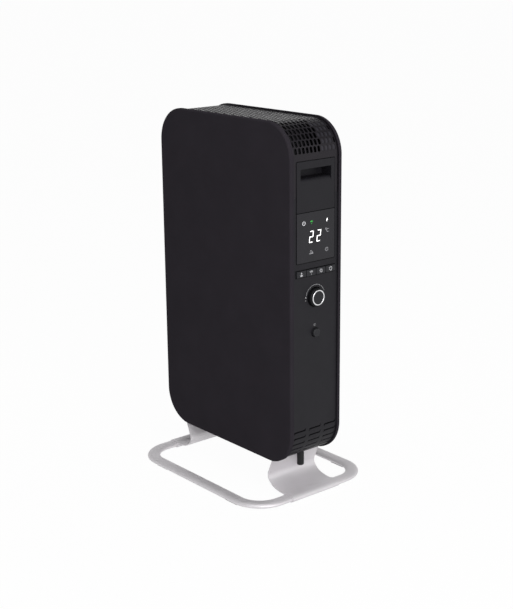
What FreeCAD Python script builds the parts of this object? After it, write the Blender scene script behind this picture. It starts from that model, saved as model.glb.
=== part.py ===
"""Slim oil-filled radiator heater on a flat tubular stand: a parametric model in millimetres.

+Z is up and Z = 0 is the floor. X runs along the heater, with the control end at +X.
Y runs through its thickness, with the front panel at -Y. The origin is the middle of the stand.
"""
import FreeCAD, Part
import math
import os
import Sketcher
from FreeCAD import Rotation, Vector

# Every driving size: its name, its value and what it is.
SIZES = [
    ("body_width", 336, "length of the heater along X, over the panels"),
    ("body_depth", 109, "thickness of the heater along Y, over the panels"),
    ("body_height", 560, "height of the panels"),
    ("floor_gap", 60, "from the floor to the panels' lower edge"),
    ("corner_radius", 57, "outer corner radius of the panels"),
    ("panel_sheet", 1, "steel sheet of the panels"),
    ("panel_flange", 7.2, "how deep each panel's rim is turned back"),
    ("panel_edge_radius", 3.2, "round between a panel's face and its rim"),
    ("shell_inset", 2.5, "how far the end caps and grille lie inside the panels' rim"),
    ("shell_wall", 2.5, "wall of the end caps and grille"),
    ("shell_width", 93.8, "visible width of the end caps and grille"),
    ("shell_edge_radius", 0.8, "round along the edges of the end caps and grille"),
    ("shoulder_width", 104, "width over the shoulders that run under the panels' rims"),
    ("shoulder_opening", 87, "clear width between the two shoulders"),
    ("shoulder_sheet", 2, "thickness of the shoulders"),
    ("bead_width", 3, "width of the raised bead along each edge of the end caps and grille"),
    ("bead_gap", 0.3, "gap between the beads and the panels' rims over them"),
    ("bead_foot", 14, "height of the beads' lower ends above the panels' lower edge"),
    ("cap_shoulder_rise", 2.2, "how much farther out the end caps' shoulders lie than the grille's"),
    ("part_gap", 0.3, "seam between two housing parts"),
    ("grille_drop", 115, "how far the grille reaches down each end from the top"),
    ("hex_pitch", 8, "spacing of the grille's holes across the heater"),
    ("hex_start", 13.46, "from the start of the upper corner to the middle of the first row"),
    ("hex_width", 5.3, "width of one hole"),
    ("hex_length", 10.4, "length of one hole between its points"),
    ("hex_rows", 34, "number of rows"),
    ("hex_field", 89, "width of the perforated field"),
    ("hex_blind_depth", 0.7, "depth of the holes that stay closed"),
    ("blind_rows", 7, "rows at the control end whose rear holes are closed"),
    ("blind_full_rows", 1, "how many of them are closed up to the rear edge"),
    ("blind_start", 12, "from the middle to the first closed holes"),
    ("blind_end", 42, "from the middle to the last closed holes of the other rows"),
    ("vent_length", 25.5, "length of one air slot in an end cap"),
    ("vent_width", 2.3, "height of one air slot"),
    ("vent_kink", 3, "length of the slanted ends of a slot"),
    ("vent_kink_inside", 1.2, "length of the slant on the inner side of the bend"),
    ("vent_gap", 7, "solid land between two slots of a row"),
    ("vent_pitch", 11, "spacing of the slot rows along the surface"),
    ("vent_start", 3.3, "height of the first row above the start of the lower corner"),
    ("vent_rows", 7, "number of slot rows in an end cap"),
    ("base_sheet", 1.5, "steel sheet of the base plate"),
    ("intake_count", 6, "number of rows of air slots between the two core saddles"),
    ("intake_width", 4, "width of one base plate slot"),
    ("intake_margin", 10.75, "from a saddle's leg to the nearest of those rows"),
    ("plate_width", 79.6, "width of the handle plate and display window"),
    ("plate_top_drop", 60, "from the top of the heater to the handle plate"),
    ("handle_plate_height", 79.4, "height of the handle plate"),
    ("window_height", 79.5, "height of the display window"),
    ("plate_seam", 0.8, "seam between the handle plate and the window"),
    ("plate_proud", 0.8, "how far both stand out of the end cap"),
    ("plate_gap", 1.1, "gap around both"),
    ("plate_corner", 1.5, "corner radius of both"),
    ("plate_edge_radius", 0.5, "round of their front edges"),
    ("rim_sheet", 2.2, "thickness of the rims behind the wall"),
    ("rim_overlap", 1.8, "how far the rims reach behind the wall"),
    ("pocket_width", 64, "width of the finger pocket"),
    ("pocket_height", 24.8, "height of the finger pocket's mouth"),
    ("pocket_drop", 11.7, "from the plate's top to the pocket"),
    ("pocket_depth", 22, "depth of the pocket"),
    ("pocket_wall", 2, "wall of the pocket"),
    ("pocket_lip_rise", 10, "rise of the rounded lip at the pocket's mouth"),
    ("pocket_lip_run", 8.3, "depth of that lip"),
    ("aperture", 62, "opening in the display carrier"),
    ("post_radius", 3, "radius of the posts that carry the boards"),
    ("post_inset", 4, "from a board's edge to its posts"),
    ("board_sheet", 1.6, "thickness of the circuit boards"),
    ("board_width", 80, "width of the control and power boards"),
    ("display_board_width", 77, "width of the display board"),
    ("display_board_height", 75.6, "height of the display board"),
    ("display_board_depth", 11.4, "from the back of the wall to the display board"),
    ("led_module_size", 60, "side of the lamp module behind the window"),
    ("key_width", 19.25, "width of one key"),
    ("key_height", 10.4, "height of one key"),
    ("key_gap", 1.4, "gap between two keys"),
    ("key_frame_gap", 1.2, "gap around the row of keys"),
    ("key_proud", 2, "how far the keys stand out"),
    ("key_edge_radius", 0.4, "round of the keys' front edges"),
    ("key_row_drop", 236.8, "from the top of the heater to the middle of the keys"),
    ("key_flange", 2.8, "how far a key's stop reaches behind the wall"),
    ("key_flange_sheet", 2, "thickness of that stop"),
    ("key_stem", 4, "length of a key's stem"),
    ("key_stem_side", 5, "side of a key's stem"),
    ("key_free_play", 0.9, "from a key's stem to its switch"),
    ("stop_gap", 0.3, "play between a key's or button's stop and the wall"),
    ("switch_side", 6, "side of one small switch"),
    ("switch_depth", 3.5, "depth of its case"),
    ("plunger_radius", 1.7, "radius of its plunger"),
    ("control_board_depth", 13, "from the back of the wall to the control board"),
    ("control_board_height", 79, "height of the control board"),
    ("control_board_drop", 223, "from the top of the heater to the control board"),
    ("control_post_drop", 29, "from the control board's top to its upper posts"),
    ("knob_drop", 278.6, "from the top of the heater to the knob's middle"),
    ("knob_radius", 15.2, "outer radius of the knob"),
    ("knob_proud", 8.2, "how far the knob stands out of the end cap"),
    ("knob_well_radius", 16.5, "radius of the well that the knob turns in"),
    ("knob_well_depth", 6.6, "depth of the well below the cap's face"),
    ("knob_well_wall", 2, "wall of the well"),
    ("knob_well_floor", 1.5, "floor of the well"),
    ("knob_floor_gap", 0.7, "from the well's floor to the knob"),
    ("knob_wall", 2, "wall of the knob"),
    ("knob_edge_radius", 1.8, "round of the knob's front edge"),
    ("knob_hub_radius", 6, "radius of the knob's hub"),
    ("ring_radius", 12.6, "outer radius of the bright ring"),
    ("ring_band", 1.9, "width of the bright ring"),
    ("ring_depth", 2.2, "depth of the bright ring"),
    ("ring_round", 0.6, "round of its front edges"),
    ("face_gap", 0.35, "gap between the bright ring and the knob's face"),
    ("face_recess", 0.6, "how far the knob's face lies inside the ring"),
    ("shaft_radius", 3, "radius of the encoder's shaft and the button's stem"),
    ("running_clearance", 0.05, "radial clearance of a shaft in its bore"),
    ("press_clearance", 0.02, "radial clearance of parts pushed together"),
    ("encoder_side", 13, "side of the encoder's case"),
    ("encoder_depth", 7, "depth of the encoder's case"),
    ("encoder_neck_radius", 4.5, "radius of the encoder's neck"),
    ("encoder_neck", 3, "length of the encoder's neck"),
    ("encoder_floor", 1.5, "floor under the encoder's bore"),
    ("encoder_hole_gap", 0.5, "clearance of the neck in the well's floor"),
    ("shaft_end_gap", 0.4, "play at the shaft's and the hub's ends"),
    ("power_drop", 337.3, "from the top of the heater to the power button"),
    ("power_radius", 7, "radius of the power button"),
    ("power_hole_radius", 8.1, "radius of its hole"),
    ("power_proud", 4.4, "how far the button stands out"),
    ("power_edge_radius", 1.2, "round of the button's front edge"),
    ("power_flange_radius", 10, "radius of the stop behind the wall"),
    ("power_flange_sheet", 2, "thickness of that stop"),
    ("power_stem", 9.5, "length of the button's stem"),
    ("power_free_stroke", 2.6, "from the button's stem to the bottom of the switch's bore"),
    ("power_switch_side", 20, "side of the mains switch"),
    ("power_switch_depth", 16, "depth of the mains switch"),
    ("power_board_depth", 23, "from the back of the wall to the power board"),
    ("power_board_height", 118, "height of the power board"),
    ("power_board_drop", 320, "from the top of the heater to the power board"),
    ("relay_depth", 16, "depth of the relay"),
    ("relay_width", 20, "width of the relay"),
    ("relay_height", 28, "height of the relay"),
    ("transformer_depth", 18, "depth of the power supply's transformer"),
    ("transformer_side", 26, "width and height of the transformer"),
    ("component_rise", 35, "from the power board's foot to the relay and transformer"),
    ("component_spread", 20, "from the middle to the relay's and transformer's middles"),
    ("tilt_switch_depth", 12, "depth of the tilt switch"),
    ("tilt_switch_width", 16, "width of the tilt switch"),
    ("tilt_switch_height", 18, "height of the tilt switch"),
    ("tilt_switch_rise", 5, "from the power board's foot to the tilt switch"),
    ("capacitor_radius", 6, "radius of the capacitor"),
    ("capacitor_depth", 20, "length of the capacitor"),
    ("capacitor_rise", 76, "from the power board's foot to the capacitor"),
    ("block_depth", 16, "depth and height of the terminal block"),
    ("block_width", 32, "width of the terminal block"),
    ("block_rise", 8, "from the power board's foot to the terminal block"),
    ("sensor_side", 6, "side of the room sensor"),
    ("sensor_width", 10, "width of the room sensor"),
    ("sensor_spread", 25, "from the middle to the room sensor"),
    ("sensor_rise", 34, "height of the room sensor above the lower corner's start"),
    ("wireless_sheet", 3, "thickness of the wireless module"),
    ("wireless_width", 26, "width of the wireless module"),
    ("wireless_height", 18, "height of the wireless module"),
    ("gland_from_end", 38, "from the end of the heater to the cable gland"),
    ("gland_radius", 5.85, "outer radius of the cable gland"),
    ("gland_bore", 3.75, "radius of the passage through the gland"),
    ("gland_reach", 15.8, "how far the gland hangs below the panels"),
    ("gland_length", 38, "whole length of the gland"),
    ("gland_round", 1, "round of the gland's lower edge"),
    ("gland_nut_radius", 9, "outer radius of the gland's nut"),
    ("gland_nut_height", 5, "height of the gland's nut"),
    ("gland_pad_margin", 1, "how far the flat pad reaches past the nut"),
    ("section_count", 7, "number of oil sections"),
    ("section_far_gap", 37, "from the back of the far end's wall to the first section's middle"),
    ("section_near_gap", 18, "from the last section's middle to the partition"),
    ("section_depth", 88, "depth of one section along Y"),
    ("section_drop", 36, "from the panels' upper edge to the sections"),
    ("section_corner", 20, "corner radius of one section"),
    ("section_seam", 1.6, "thickness of the welded seam around a section"),
    ("section_rise", 24, "from the panels' lower edge to the sections"),
    ("channel_thickness", 9, "thickness of a section's oil channel"),
    ("channel_inset", 8, "from a section's seam edge to the oil channel"),
    ("oil_wall", 1, "steel wall around the oil"),
    ("header_radius", 20, "outer radius of the headers that join the sections"),
    ("header_bore", 15, "bore of the headers"),
    ("header_inset", 28, "from a section's end to its header"),
    ("header_end", 3.5, "length of the header stub at the core's two ends"),
    ("plug_sheet", 5, "thickness of the header plugs"),
    ("plug_spigot", 6, "length of a plug's spigot"),
    ("hex_key_radius", 9, "radius of the filler plug's hexagon"),
    ("hex_key_height", 3, "height of that hexagon"),
    ("gasket_sheet", 1, "thickness of the heating element's gasket"),
    ("element_flange_radius", 24, "radius of the heating element's flange"),
    ("element_radius", 4, "radius of the heating rod"),
    ("element_spread", 8, "from the element's middle to each leg"),
    ("element_end_gap", 31, "from the core's far end to the heating rod's bent end"),
    ("terminal_radius", 2.5, "radius of the element's terminals"),
    ("terminal_length", 14, "length of the element's terminals"),
    ("lead_radius", 1.5, "radius of the insulated leads"),
    ("lead_bend", 10, "bend radius of the leads"),
    ("cutout_radius", 8, "radius of the thermal cut-out"),
    ("cutout_depth", 8, "depth of the thermal cut-out"),
    ("cutout_rise", 230, "height of the cut-out above the sections' lower end"),
    ("partition_sheet", 1.5, "steel sheet of the partition"),
    ("electronics_room", 55, "from the partition to the back of the control end's wall"),
    ("partition_width", 100, "width of the partition"),
    ("partition_hole", 26, "radius of the hole for the element's terminals"),
    ("partition_foot", 6.5, "length of the partition's foot"),
    ("saddle_length", 28, "length of one core saddle"),
    ("saddle_width", 60, "width of one core saddle"),
    ("saddle_sheet", 1.5, "sheet of the core saddles"),
    ("hanger_length", 60, "length of one panel hanger"),
    ("hanger_height", 24, "height of one panel hanger"),
    ("hanger_sheet", 1.2, "sheet of the panel hangers"),
    ("hanger_inset", 56, "from a section's end to the panel hangers"),
    ("tongue_sheet", 2.5, "thickness of the end caps' tongues over the base plate"),
    ("tongue_margin", 14, "from the stand screws to the end of a tongue"),
    ("tongue_width", 80, "width of a tongue"),
    ("stand_overhang", 1, "how far the stand's loop reaches beyond each end of the heater"),
    ("stand_width", 260.5, "outer width of the stand's loop along Y"),
    ("stand_corner", 47, "corner radius of the loop's centre line"),
    ("tube_width", 22, "width of the flat oval tube"),
    ("tube_height", 9, "height of the flat oval tube"),
    ("tube_flat", 5, "width of its flat top and underside"),
    ("tube_wall", 1.5, "wall of the tube"),
    ("pad_sheet", 2.6, "thickness of the foot pads"),
    ("pad_length", 30, "length of a foot pad"),
    ("pad_width", 8, "width of a foot pad"),
    ("bracket_width", 103, "width of the stand's brackets"),
    ("bracket_sheet", 1.5, "sheet of the brackets"),
    ("wrap_clearance", 0.1, "clearance of a bracket's wrap around the tube"),
    ("instep_rise", 8.2, "height of the bracket's instep above the tube's underside"),
    ("instep_run", 3, "straight run from the wrap to the first bend"),
    ("foot_radius", 80, "first, wide bend of a bracket"),
    ("instep_radius", 32, "second bend of a bracket"),
    ("neck_radius", 14, "tight bend at a bracket's neck"),
    ("fold_radius", 3, "bend of a bracket's tab"),
    ("foot_turn", 14, "degrees turned by the first bend"),
    ("instep_turn", 33, "degrees turned by the second bend"),
    ("neck_turn", 66, "degrees turned by the neck"),
    ("tab_width", 92, "width of a bracket's tab"),
    ("tab_length", 24, "length of a bracket's tab"),
    ("tab_clearance", 0.7, "from the panels' rims to a bracket's shoulders"),
    ("screw_radius", 2.5, "radius of the stand screws"),
    ("screw_head_radius", 5, "radius of their heads"),
    ("screw_head", 2.8, "height of their heads"),
    ("screw_length", 11, "length of their shanks"),
    ("screw_reach", 60, "from the middle of the stand's tube to the stand screws along X"),
    ("screw_spread", 30, "from the middle to the stand screws along Y"),
    ("nut_side", 8, "side of a stand nut"),
    ("nut_height", 4, "height of a stand nut"),
    ("board_screw_radius", 1.4, "radius of the board screws"),
    ("board_screw_head_radius", 2.8, "radius of their heads"),
    ("board_screw_head", 1.8, "height of their heads"),
    ("board_screw_length", 8, "length of their shanks"),
]

doc = FreeCAD.newDocument("oil_filled_radiator")
sheet = doc.addObject("Spreadsheet::Sheet", "Sizes")
for row, (alias, value, meaning) in enumerate(SIZES, start=1):
    sheet.set(f"A{row}", meaning)
    sheet.set(f"B{row}", str(value))
    sheet.setAlias(f"B{row}", alias)
doc.recompute()


class Length:
    """A length as a number and as the expression that binds it to the sheet."""

    def __init__(self, number, text):
        self.number = float(number)
        self.text = text

    def __float__(self):
        return self.number

    def __neg__(self):
        return Length(-self.number, f"(-{self.text})")

    def __add__(self, other):
        other = as_length(other)
        return Length(self.number + other.number, f"({self.text} + {other.text})")

    def __sub__(self, other):
        other = as_length(other)
        return Length(self.number - other.number, f"({self.text} - {other.text})")

    def __mul__(self, other):
        other = as_length(other)
        return Length(self.number * other.number, f"({self.text} * {other.text})")

    def __truediv__(self, other):
        other = as_length(other)
        return Length(self.number / other.number, f"({self.text} / {other.text})")

    def root(self):
        return Length(math.sqrt(self.number), f"sqrt({self.text})")

    def __radd__(self, other):
        return as_length(other) + self

    def __rsub__(self, other):
        return as_length(other) - self

    def __rmul__(self, other):
        return as_length(other) * self


def as_length(value):
    """Turn a plain number into a Length."""
    if isinstance(value, Length):
        return value
    if value < 0:
        return Length(value, f"(0 - {-value!r})")
    return Length(value, repr(value))


class Sheet:
    """Reads the sheet's cells by their alias."""

    def __getattr__(self, alias):
        return Length(sheet.get(alias), f"Sizes.{alias}")


size = Sheet()


def bind(thing, prop, value):
    """Bind one property to an expression over the sheet."""
    thing.setExpression(prop, as_length(value).text)


def put(thing, x, y, z):
    """Bind a thing's place to expressions over the sheet."""
    for axis, value in zip("xyz", (x, y, z)):
        bind(thing, f"Placement.Base.{axis}", value)


def box(name, x, y, z):
    """A box given by its low and high ends along X, Y and Z."""
    thing = doc.addObject("Part::Box", name)
    for prop, ends in (("Length", x), ("Width", y), ("Height", z)):
        bind(thing, prop, as_length(ends[1]) - ends[0])
    put(thing, x[0], y[0], z[0])
    return thing


TURNS = {
    "X": Rotation(Vector(0, 1, 0), 90),
    "Y": Rotation(Vector(1, 0, 0), -90),
    "Z": Rotation(),
}


def rod(name, radius, axis, start, end, centre):
    """A cylinder along one axis; centre gives its two other coordinates, in X, Y, Z order."""
    thing = doc.addObject("Part::Cylinder", name)
    bind(thing, "Radius", radius)
    bind(thing, "Height", as_length(end) - start)
    thing.Placement = FreeCAD.Placement(Vector(), TURNS[axis])
    place = list(centre)
    place.insert("XYZ".index(axis), start)
    put(thing, *place)
    return thing


def cut(name, base, *tools):
    """The base without the tools."""
    thing = doc.addObject("Part::Cut", name)
    thing.Base = base
    thing.Tool = tools[0] if len(tools) == 1 else group(name + "_tools", *tools)
    return thing


def join(name, *pieces):
    """Several overlapping or touching pieces as one solid."""
    thing = doc.addObject("Part::MultiFuse", name)
    thing.Shapes = list(pieces)
    thing.Refine = True
    return thing


def overlap(name, first, second):
    """What two pieces have in common."""
    thing = doc.addObject("Part::Common", name)
    thing.Base = first
    thing.Tool = second
    return thing


def group(name, *pieces):
    """Separate solids in one node."""
    thing = doc.addObject("Part::Compound", name)
    thing.Links = list(pieces)
    return thing


def feature(name, shape):
    """A shape worked out here, where neither a body nor a primitive fits."""
    thing = doc.addObject("Part::Feature", name)
    thing.Shape = shape
    return thing


def polygon_prism(points, direction):
    """A prism: a closed polygon pushed along a direction."""
    corners = [Vector(*point) for point in points]
    face = Part.Face(Part.makePolygon(corners + corners[:1]))
    return face.extrude(direction)


def origin_plane(body, role):
    """One of a body's own origin planes."""
    return next(item for item in body.Origin.OriginFeatures if item.Role == role)


def rounded_block(name, plane, width, height, radius, depth, at, edge_radius=None, fillet_ends="both"):
    """A body padded from a rounded rectangle on XZ_Plane (towards -Y) or YZ_Plane (towards +X)."""
    body = doc.addObject("PartDesign::Body", name)
    sketch = body.newObject("Sketcher::SketchObject", name + "_outline")
    sketch.AttachmentSupport = [(origin_plane(body, plane), "")]
    sketch.MapMode = "FlatFace"
    a = float(width) / 2
    b = float(height) / 2
    r = float(radius)
    sides = [(r - a, -b, a - r, -b), (a, r - b, a, b - r), (a - r, b, r - a, b), (-a, b - r, -a, r - b)]
    for x0, y0, x1, y1 in sides:
        sketch.addGeometry(Part.LineSegment(Vector(x0, y0, 0), Vector(x1, y1, 0)))
    centres = [(a - r, r - b), (a - r, b - r), (r - a, b - r), (r - a, r - b)]
    for quarter, (x, y) in enumerate(centres):
        circle = Part.Circle(Vector(x, y, 0), Vector(0, 0, 1), r)
        start = (quarter - 1) * math.pi / 2
        sketch.addGeometry(Part.ArcOfCircle(circle, start, start + math.pi / 2))
    rule = Sketcher.Constraint
    for side in range(4):
        sketch.addConstraint(rule("Tangent", side, 2, 4 + side, 1))
        sketch.addConstraint(rule("Tangent", 4 + side, 2, (side + 1) % 4, 1))
        sketch.addConstraint(rule("Horizontal" if side % 2 == 0 else "Vertical", side))
    for corner in (5, 6, 7):
        sketch.addConstraint(rule("Equal", 4, corner))
    measures = [
        ("radius", rule("Radius", 4, r), radius),
        ("width", rule("DistanceX", 3, 1, 1, 1, 2 * a), width),
        ("height", rule("DistanceY", 0, 1, 2, 1, 2 * b), height),
        ("half_width", rule("DistanceX", -1, 1, 1, 1, a), as_length(width) / 2),
        ("half_height", rule("DistanceY", -1, 1, 2, 1, b), as_length(height) / 2),
    ]
    for label, constraint, value in measures:
        index = sketch.addConstraint(constraint)
        sketch.renameConstraint(index, label)
        bind(sketch, f"Constraints.{label}", value)
    pad = body.newObject("PartDesign::Pad", name + "_pad")
    pad.Profile = sketch
    bind(pad, "Length", depth)
    put(body, *at)
    if edge_radius is not None:
        doc.recompute()
        across = "x" if plane == "YZ_Plane" else "y"
        ends = [0, float(depth)] if plane == "YZ_Plane" else [0, -float(depth)]
        if fillet_ends == "outer":
            ends = ends[1:]
        names = []
        for number, edge in enumerate(pad.Shape.Edges, start=1):
            places = [getattr(vertex.Point, across) for vertex in edge.Vertexes]
            if any(all(abs(place - end) < 1e-6 for place in places) for end in ends):
                names.append(f"Edge{number}")
        rounding = body.newObject("PartDesign::Fillet", name + "_rounding")
        rounding.Base = (pad, names)
        bind(rounding, "Radius", edge_radius)
        body.Tip = rounding
    return body


def round_edges(name, base, radius, chosen):
    """Round the edges of a piece that the test picks."""
    doc.recompute()
    thing = doc.addObject("Part::Fillet", name)
    thing.Base = base
    thing.Edges = [
        (number, float(radius), float(radius))
        for number, edge in enumerate(base.Shape.Edges, start=1)
        if chosen(edge)
    ]
    return thing


def edge_lies_at_x(place):
    """A test for the edges that lie whole in the plane X = place."""
    return lambda edge: all(abs(vertex.X - float(place)) < 1e-6 for vertex in edge.Vertexes)


# Places that several sub-parts share.
body_bottom = size.floor_gap
body_top = size.floor_gap + size.body_height
body_middle = size.floor_gap + size.body_height / 2
cap_face = size.body_width / 2 - size.shell_inset
cap_back = cap_face - size.shell_wall
corner_x = size.body_width / 2 - size.corner_radius
tube_x = size.body_width / 2 + size.stand_overhang - size.tube_width / 2
screw_place = tube_x - size.screw_reach
tongue_end = screw_place - size.tongue_margin
partition_place = cap_back - size.electronics_room
SECTIONS = int(float(size.section_count))
first_x = size.section_far_gap - cap_back
last_x = partition_place - size.section_near_gap
section_pitch = (last_x - first_x) / (SECTIONS - 1)
section_foot = size.floor_gap + size.section_rise
section_height = size.body_height - size.section_rise - size.section_drop
lower_corner_z = body_bottom + size.corner_radius
upper_corner_z = body_top - size.corner_radius
grille_foot = body_top - size.grille_drop
base_top = body_bottom + size.shell_inset + size.base_sheet
cap_radius = size.corner_radius - size.shell_inset
panel_inside = size.body_depth / 2 - size.panel_sheet
plate_top = body_top - size.plate_top_drop
handle_foot = plate_top - size.handle_plate_height
window_top = handle_foot - size.plate_seam
window_foot = window_top - size.window_height
rim_back = cap_back - size.rim_sheet
plate_face = cap_face + size.plate_proud
gland_x = size.body_width / 2 - size.gland_from_end
pad_radius = size.gland_nut_radius + size.gland_pad_margin
pad_reach = gland_x + pad_radius - corner_x
cap_inner_radius = cap_radius - size.shell_wall
nut_foot = lower_corner_z - (cap_inner_radius * cap_inner_radius - pad_reach * pad_reach).root()
FAR = 1000  # longer than the heater, for tools that cut right through


def both(half):
    """The two ends of a span that is centred on zero."""
    return (-as_length(half), as_length(half))


def around(middle, half):
    """The two ends of a span that is centred on a place."""
    return (as_length(middle) - half, as_length(middle) + half)


# ---------------------------------------------------------------- panels
def panel(name, facing):
    """A pressed tray: a flat face with a rounded edge and a short rim turned back."""
    body = rounded_block(
        name,
        "XZ_Plane",
        size.body_width,
        size.body_height,
        size.corner_radius,
        size.panel_flange,
        (0, -(size.body_depth / 2) + size.panel_flange, body_middle),
        size.panel_edge_radius,
        "outer",
    )
    doc.recompute()
    rounded = body.Tip
    back = max(range(len(rounded.Shape.Faces)), key=lambda i: rounded.Shape.Faces[i].CenterOfMass.y)
    hollow = body.newObject("PartDesign::Thickness", name + "_hollow")
    hollow.Base = (rounded, [f"Face{back + 1}"])
    bind(hollow, "Value", size.panel_sheet)
    hollow.Reversed = True
    body.Tip = hollow
    if facing > 0:
        body.Placement = FreeCAD.Placement(Vector(), Rotation(Vector(0, 0, 1), 180))
        put(body, 0, size.body_depth / 2 - size.panel_flange, body_middle)
    return body


front_panel = panel("front_panel", -1)
rear_panel = panel("rear_panel", 1)


def hangers(name, side):
    """Four box-section hangers between a panel and the sections' edges."""
    panel_y = side * panel_inside
    core_y = side * size.section_depth / 2
    low = min(panel_y, core_y, key=float)
    high = max(panel_y, core_y, key=float)
    pieces = []
    heights = (section_foot + size.hanger_inset, section_foot + section_height - size.hanger_inset)
    columns = around((first_x + last_x) / 2, section_pitch * 1.5)
    for column, x in enumerate(columns):
        for level, z in enumerate(heights):
            label = f"{name}_{column}{level}"
            outer = box(label + "_outer", around(x, size.hanger_length / 2), (low, high),
                        around(z, size.hanger_height / 2))
            inner = box(label + "_inner", around(x, size.hanger_length / 2 + 1),
                        (low + size.hanger_sheet, high - size.hanger_sheet),
                        around(z, size.hanger_height / 2 - size.hanger_sheet))
            pieces.append(cut(label, outer, inner))
    return group(name, *pieces)


front_hangers = hangers("front_panel_hangers", -1)
rear_hangers = hangers("rear_panel_hangers", 1)


# ---------------------------------------------------------------- the strip between the panels
def outline(name, inset, half_width, edge_radius=None):
    """The heater's outline, drawn in by an inset, as a block that is centred on Y = 0."""
    return rounded_block(
        name,
        "XZ_Plane",
        size.body_width - 2 * inset,
        size.body_height - 2 * inset,
        size.corner_radius - inset,
        2 * half_width,
        (0, half_width, body_middle),
        edge_radius,
    )


wall_inset = size.shell_inset + size.shell_wall
wall = cut(
    "strip_wall",
    outline("wall_outside", size.shell_inset, size.shell_width / 2, size.shell_edge_radius),
    outline("wall_inside", wall_inset, size.shoulder_width / 2 + 1),
)
bead_half = size.shell_width / 2 + size.bead_width
beads = cut(
    "strip_beads",
    outline("bead_outside", size.panel_sheet + size.bead_gap, bead_half),
    outline("bead_inside", wall_inset, bead_half + 1),
    box("bead_between", both(FAR), both(size.shell_width / 2), (0, FAR)),
    box("bead_limit", both(FAR), both(FAR), (0, body_bottom + size.bead_foot)),
)


def strip(name, inset):
    """The wall with its beads, and a pair of shoulders under the panels' rims, drawn in by an inset."""
    shoulders = cut(
        name + "_shoulders",
        outline(name + "_shoulder_outside", inset, size.shoulder_width / 2),
        outline(name + "_shoulder_inside", inset + size.shoulder_sheet, size.shoulder_width / 2 + 1),
        box(name + "_shoulder_between", both(FAR), both(size.shoulder_opening / 2), (0, FAR)),
    )
    return join(name, wall, beads, shoulders)


grille_strip = strip("grille_strip", wall_inset)
cap_strip = strip("cap_strip", wall_inset - size.cap_shoulder_rise)


def arc_place(distance, end):
    """A point and outward direction on the strip's outer face.

    The distance runs up from the start of the lower corner (negative) or of the upper corner
    (positive) along the face; end is +1 at the control end and -1 at the far end.
    """
    radius = float(cap_radius)
    quarter = radius * math.pi / 2
    if distance < 0:
        angle = max(distance / radius, -math.pi / 2)
        centre_z = float(lower_corner_z)
    else:
        angle = min(distance / radius, math.pi / 2)
        centre_z = float(upper_corner_z)
    outward = Vector(end * math.cos(angle), 0, math.sin(angle))
    beyond = max(abs(distance) - quarter, 0)
    x = end * (float(corner_x) - beyond) + radius * outward.x
    return Vector(x, 0, centre_z + radius * outward.z), outward


def surface_prism(outline_points, distance, end, top, depth):
    """A prism that goes through the strip's face: its outline is (across, along) the face."""
    place, outward = arc_place(distance, end)
    along = Vector(-outward.z * end, 0, outward.x * end)
    points = [place + Vector(0, across, 0) + along * run + outward * top for across, run in outline_points]
    return polygon_prism(points, outward * -(top + depth))


def elongated_hexagon(across, limit):
    """A hexagon with its points along the face, trimmed at the edge of the perforated field."""
    half = float(size.hex_width) / 2
    reach = float(size.hex_length) / 2
    shoulder = reach - half * math.tan(math.radians(30))
    low = max(-half, -limit - across)
    high = min(half, limit - across)
    if high - low < 1:
        return None
    left = reach - abs(low) * math.tan(math.radians(30))
    right = reach - abs(high) * math.tan(math.radians(30))
    if low > -half or high < half:
        edges = ((low, -left), (high, -right), (high, right), (low, left))
        return [(across + shift, run) for shift, run in edges]
    return [
        (across - half, -shoulder),
        (across, -reach),
        (across + half, -shoulder),
        (across + half, shoulder),
        (across, reach),
        (across - half, shoulder),
    ]


def hole_is_blind(row, across):
    """The holes over the control end's rear corner are closed."""
    start = float(size.blind_start)
    if row < float(size.blind_full_rows):
        return across > start
    return row < float(size.blind_rows) and start < across < float(size.blind_end)


def grille_holes():
    """The whole field of elongated hexagons, from one end over the top to the other."""
    rows = int(float(size.hex_rows))
    pitch = float(size.hex_pitch)
    limit = float(size.hex_field) / 2
    half_strip = float(corner_x) + float(cap_radius) * math.pi / 2
    first_row = half_strip - float(size.hex_start)
    through = float(size.shell_wall) + float(size.shoulder_sheet) + 1
    cutters = []
    for row in range(rows):
        from_middle = first_row * (1 - 2 * row / (rows - 1))
        end = 1 if from_middle > 0 else -1
        distance = half_strip - abs(from_middle)
        shift = 0 if row % 2 == 0 else pitch / 2
        columns = int(limit / pitch) + 1
        for column in range(-columns, columns + 1):
            across = column * pitch + shift
            hexagon = elongated_hexagon(across, limit)
            if hexagon is None:
                continue
            depth = float(size.hex_blind_depth) if hole_is_blind(row, across) else through
            cutters.append(surface_prism(hexagon, distance, end, 2, depth))
    return Part.makeCompound(cutters)


def vent_outline(middle, direction):
    """A slot with slanted ends: a level bar that turns down at one end and up at the other."""
    half = float(size.vent_length) / 2
    rise = float(size.vent_width) / 2
    kink = float(size.vent_kink)
    inside = float(size.vent_kink_inside)
    left = middle - half
    right = middle + half
    return [
        (left, direction * (-kink - rise / 2)),
        (left + kink, direction * -rise),
        (right - inside, direction * -rise),
        (right, direction * (kink - rise / 2)),
        (right, direction * (kink + rise)),
        (right - kink, direction * rise),
        (left + inside, direction * rise),
        (left, direction * (-kink + rise)),
    ]


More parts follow.
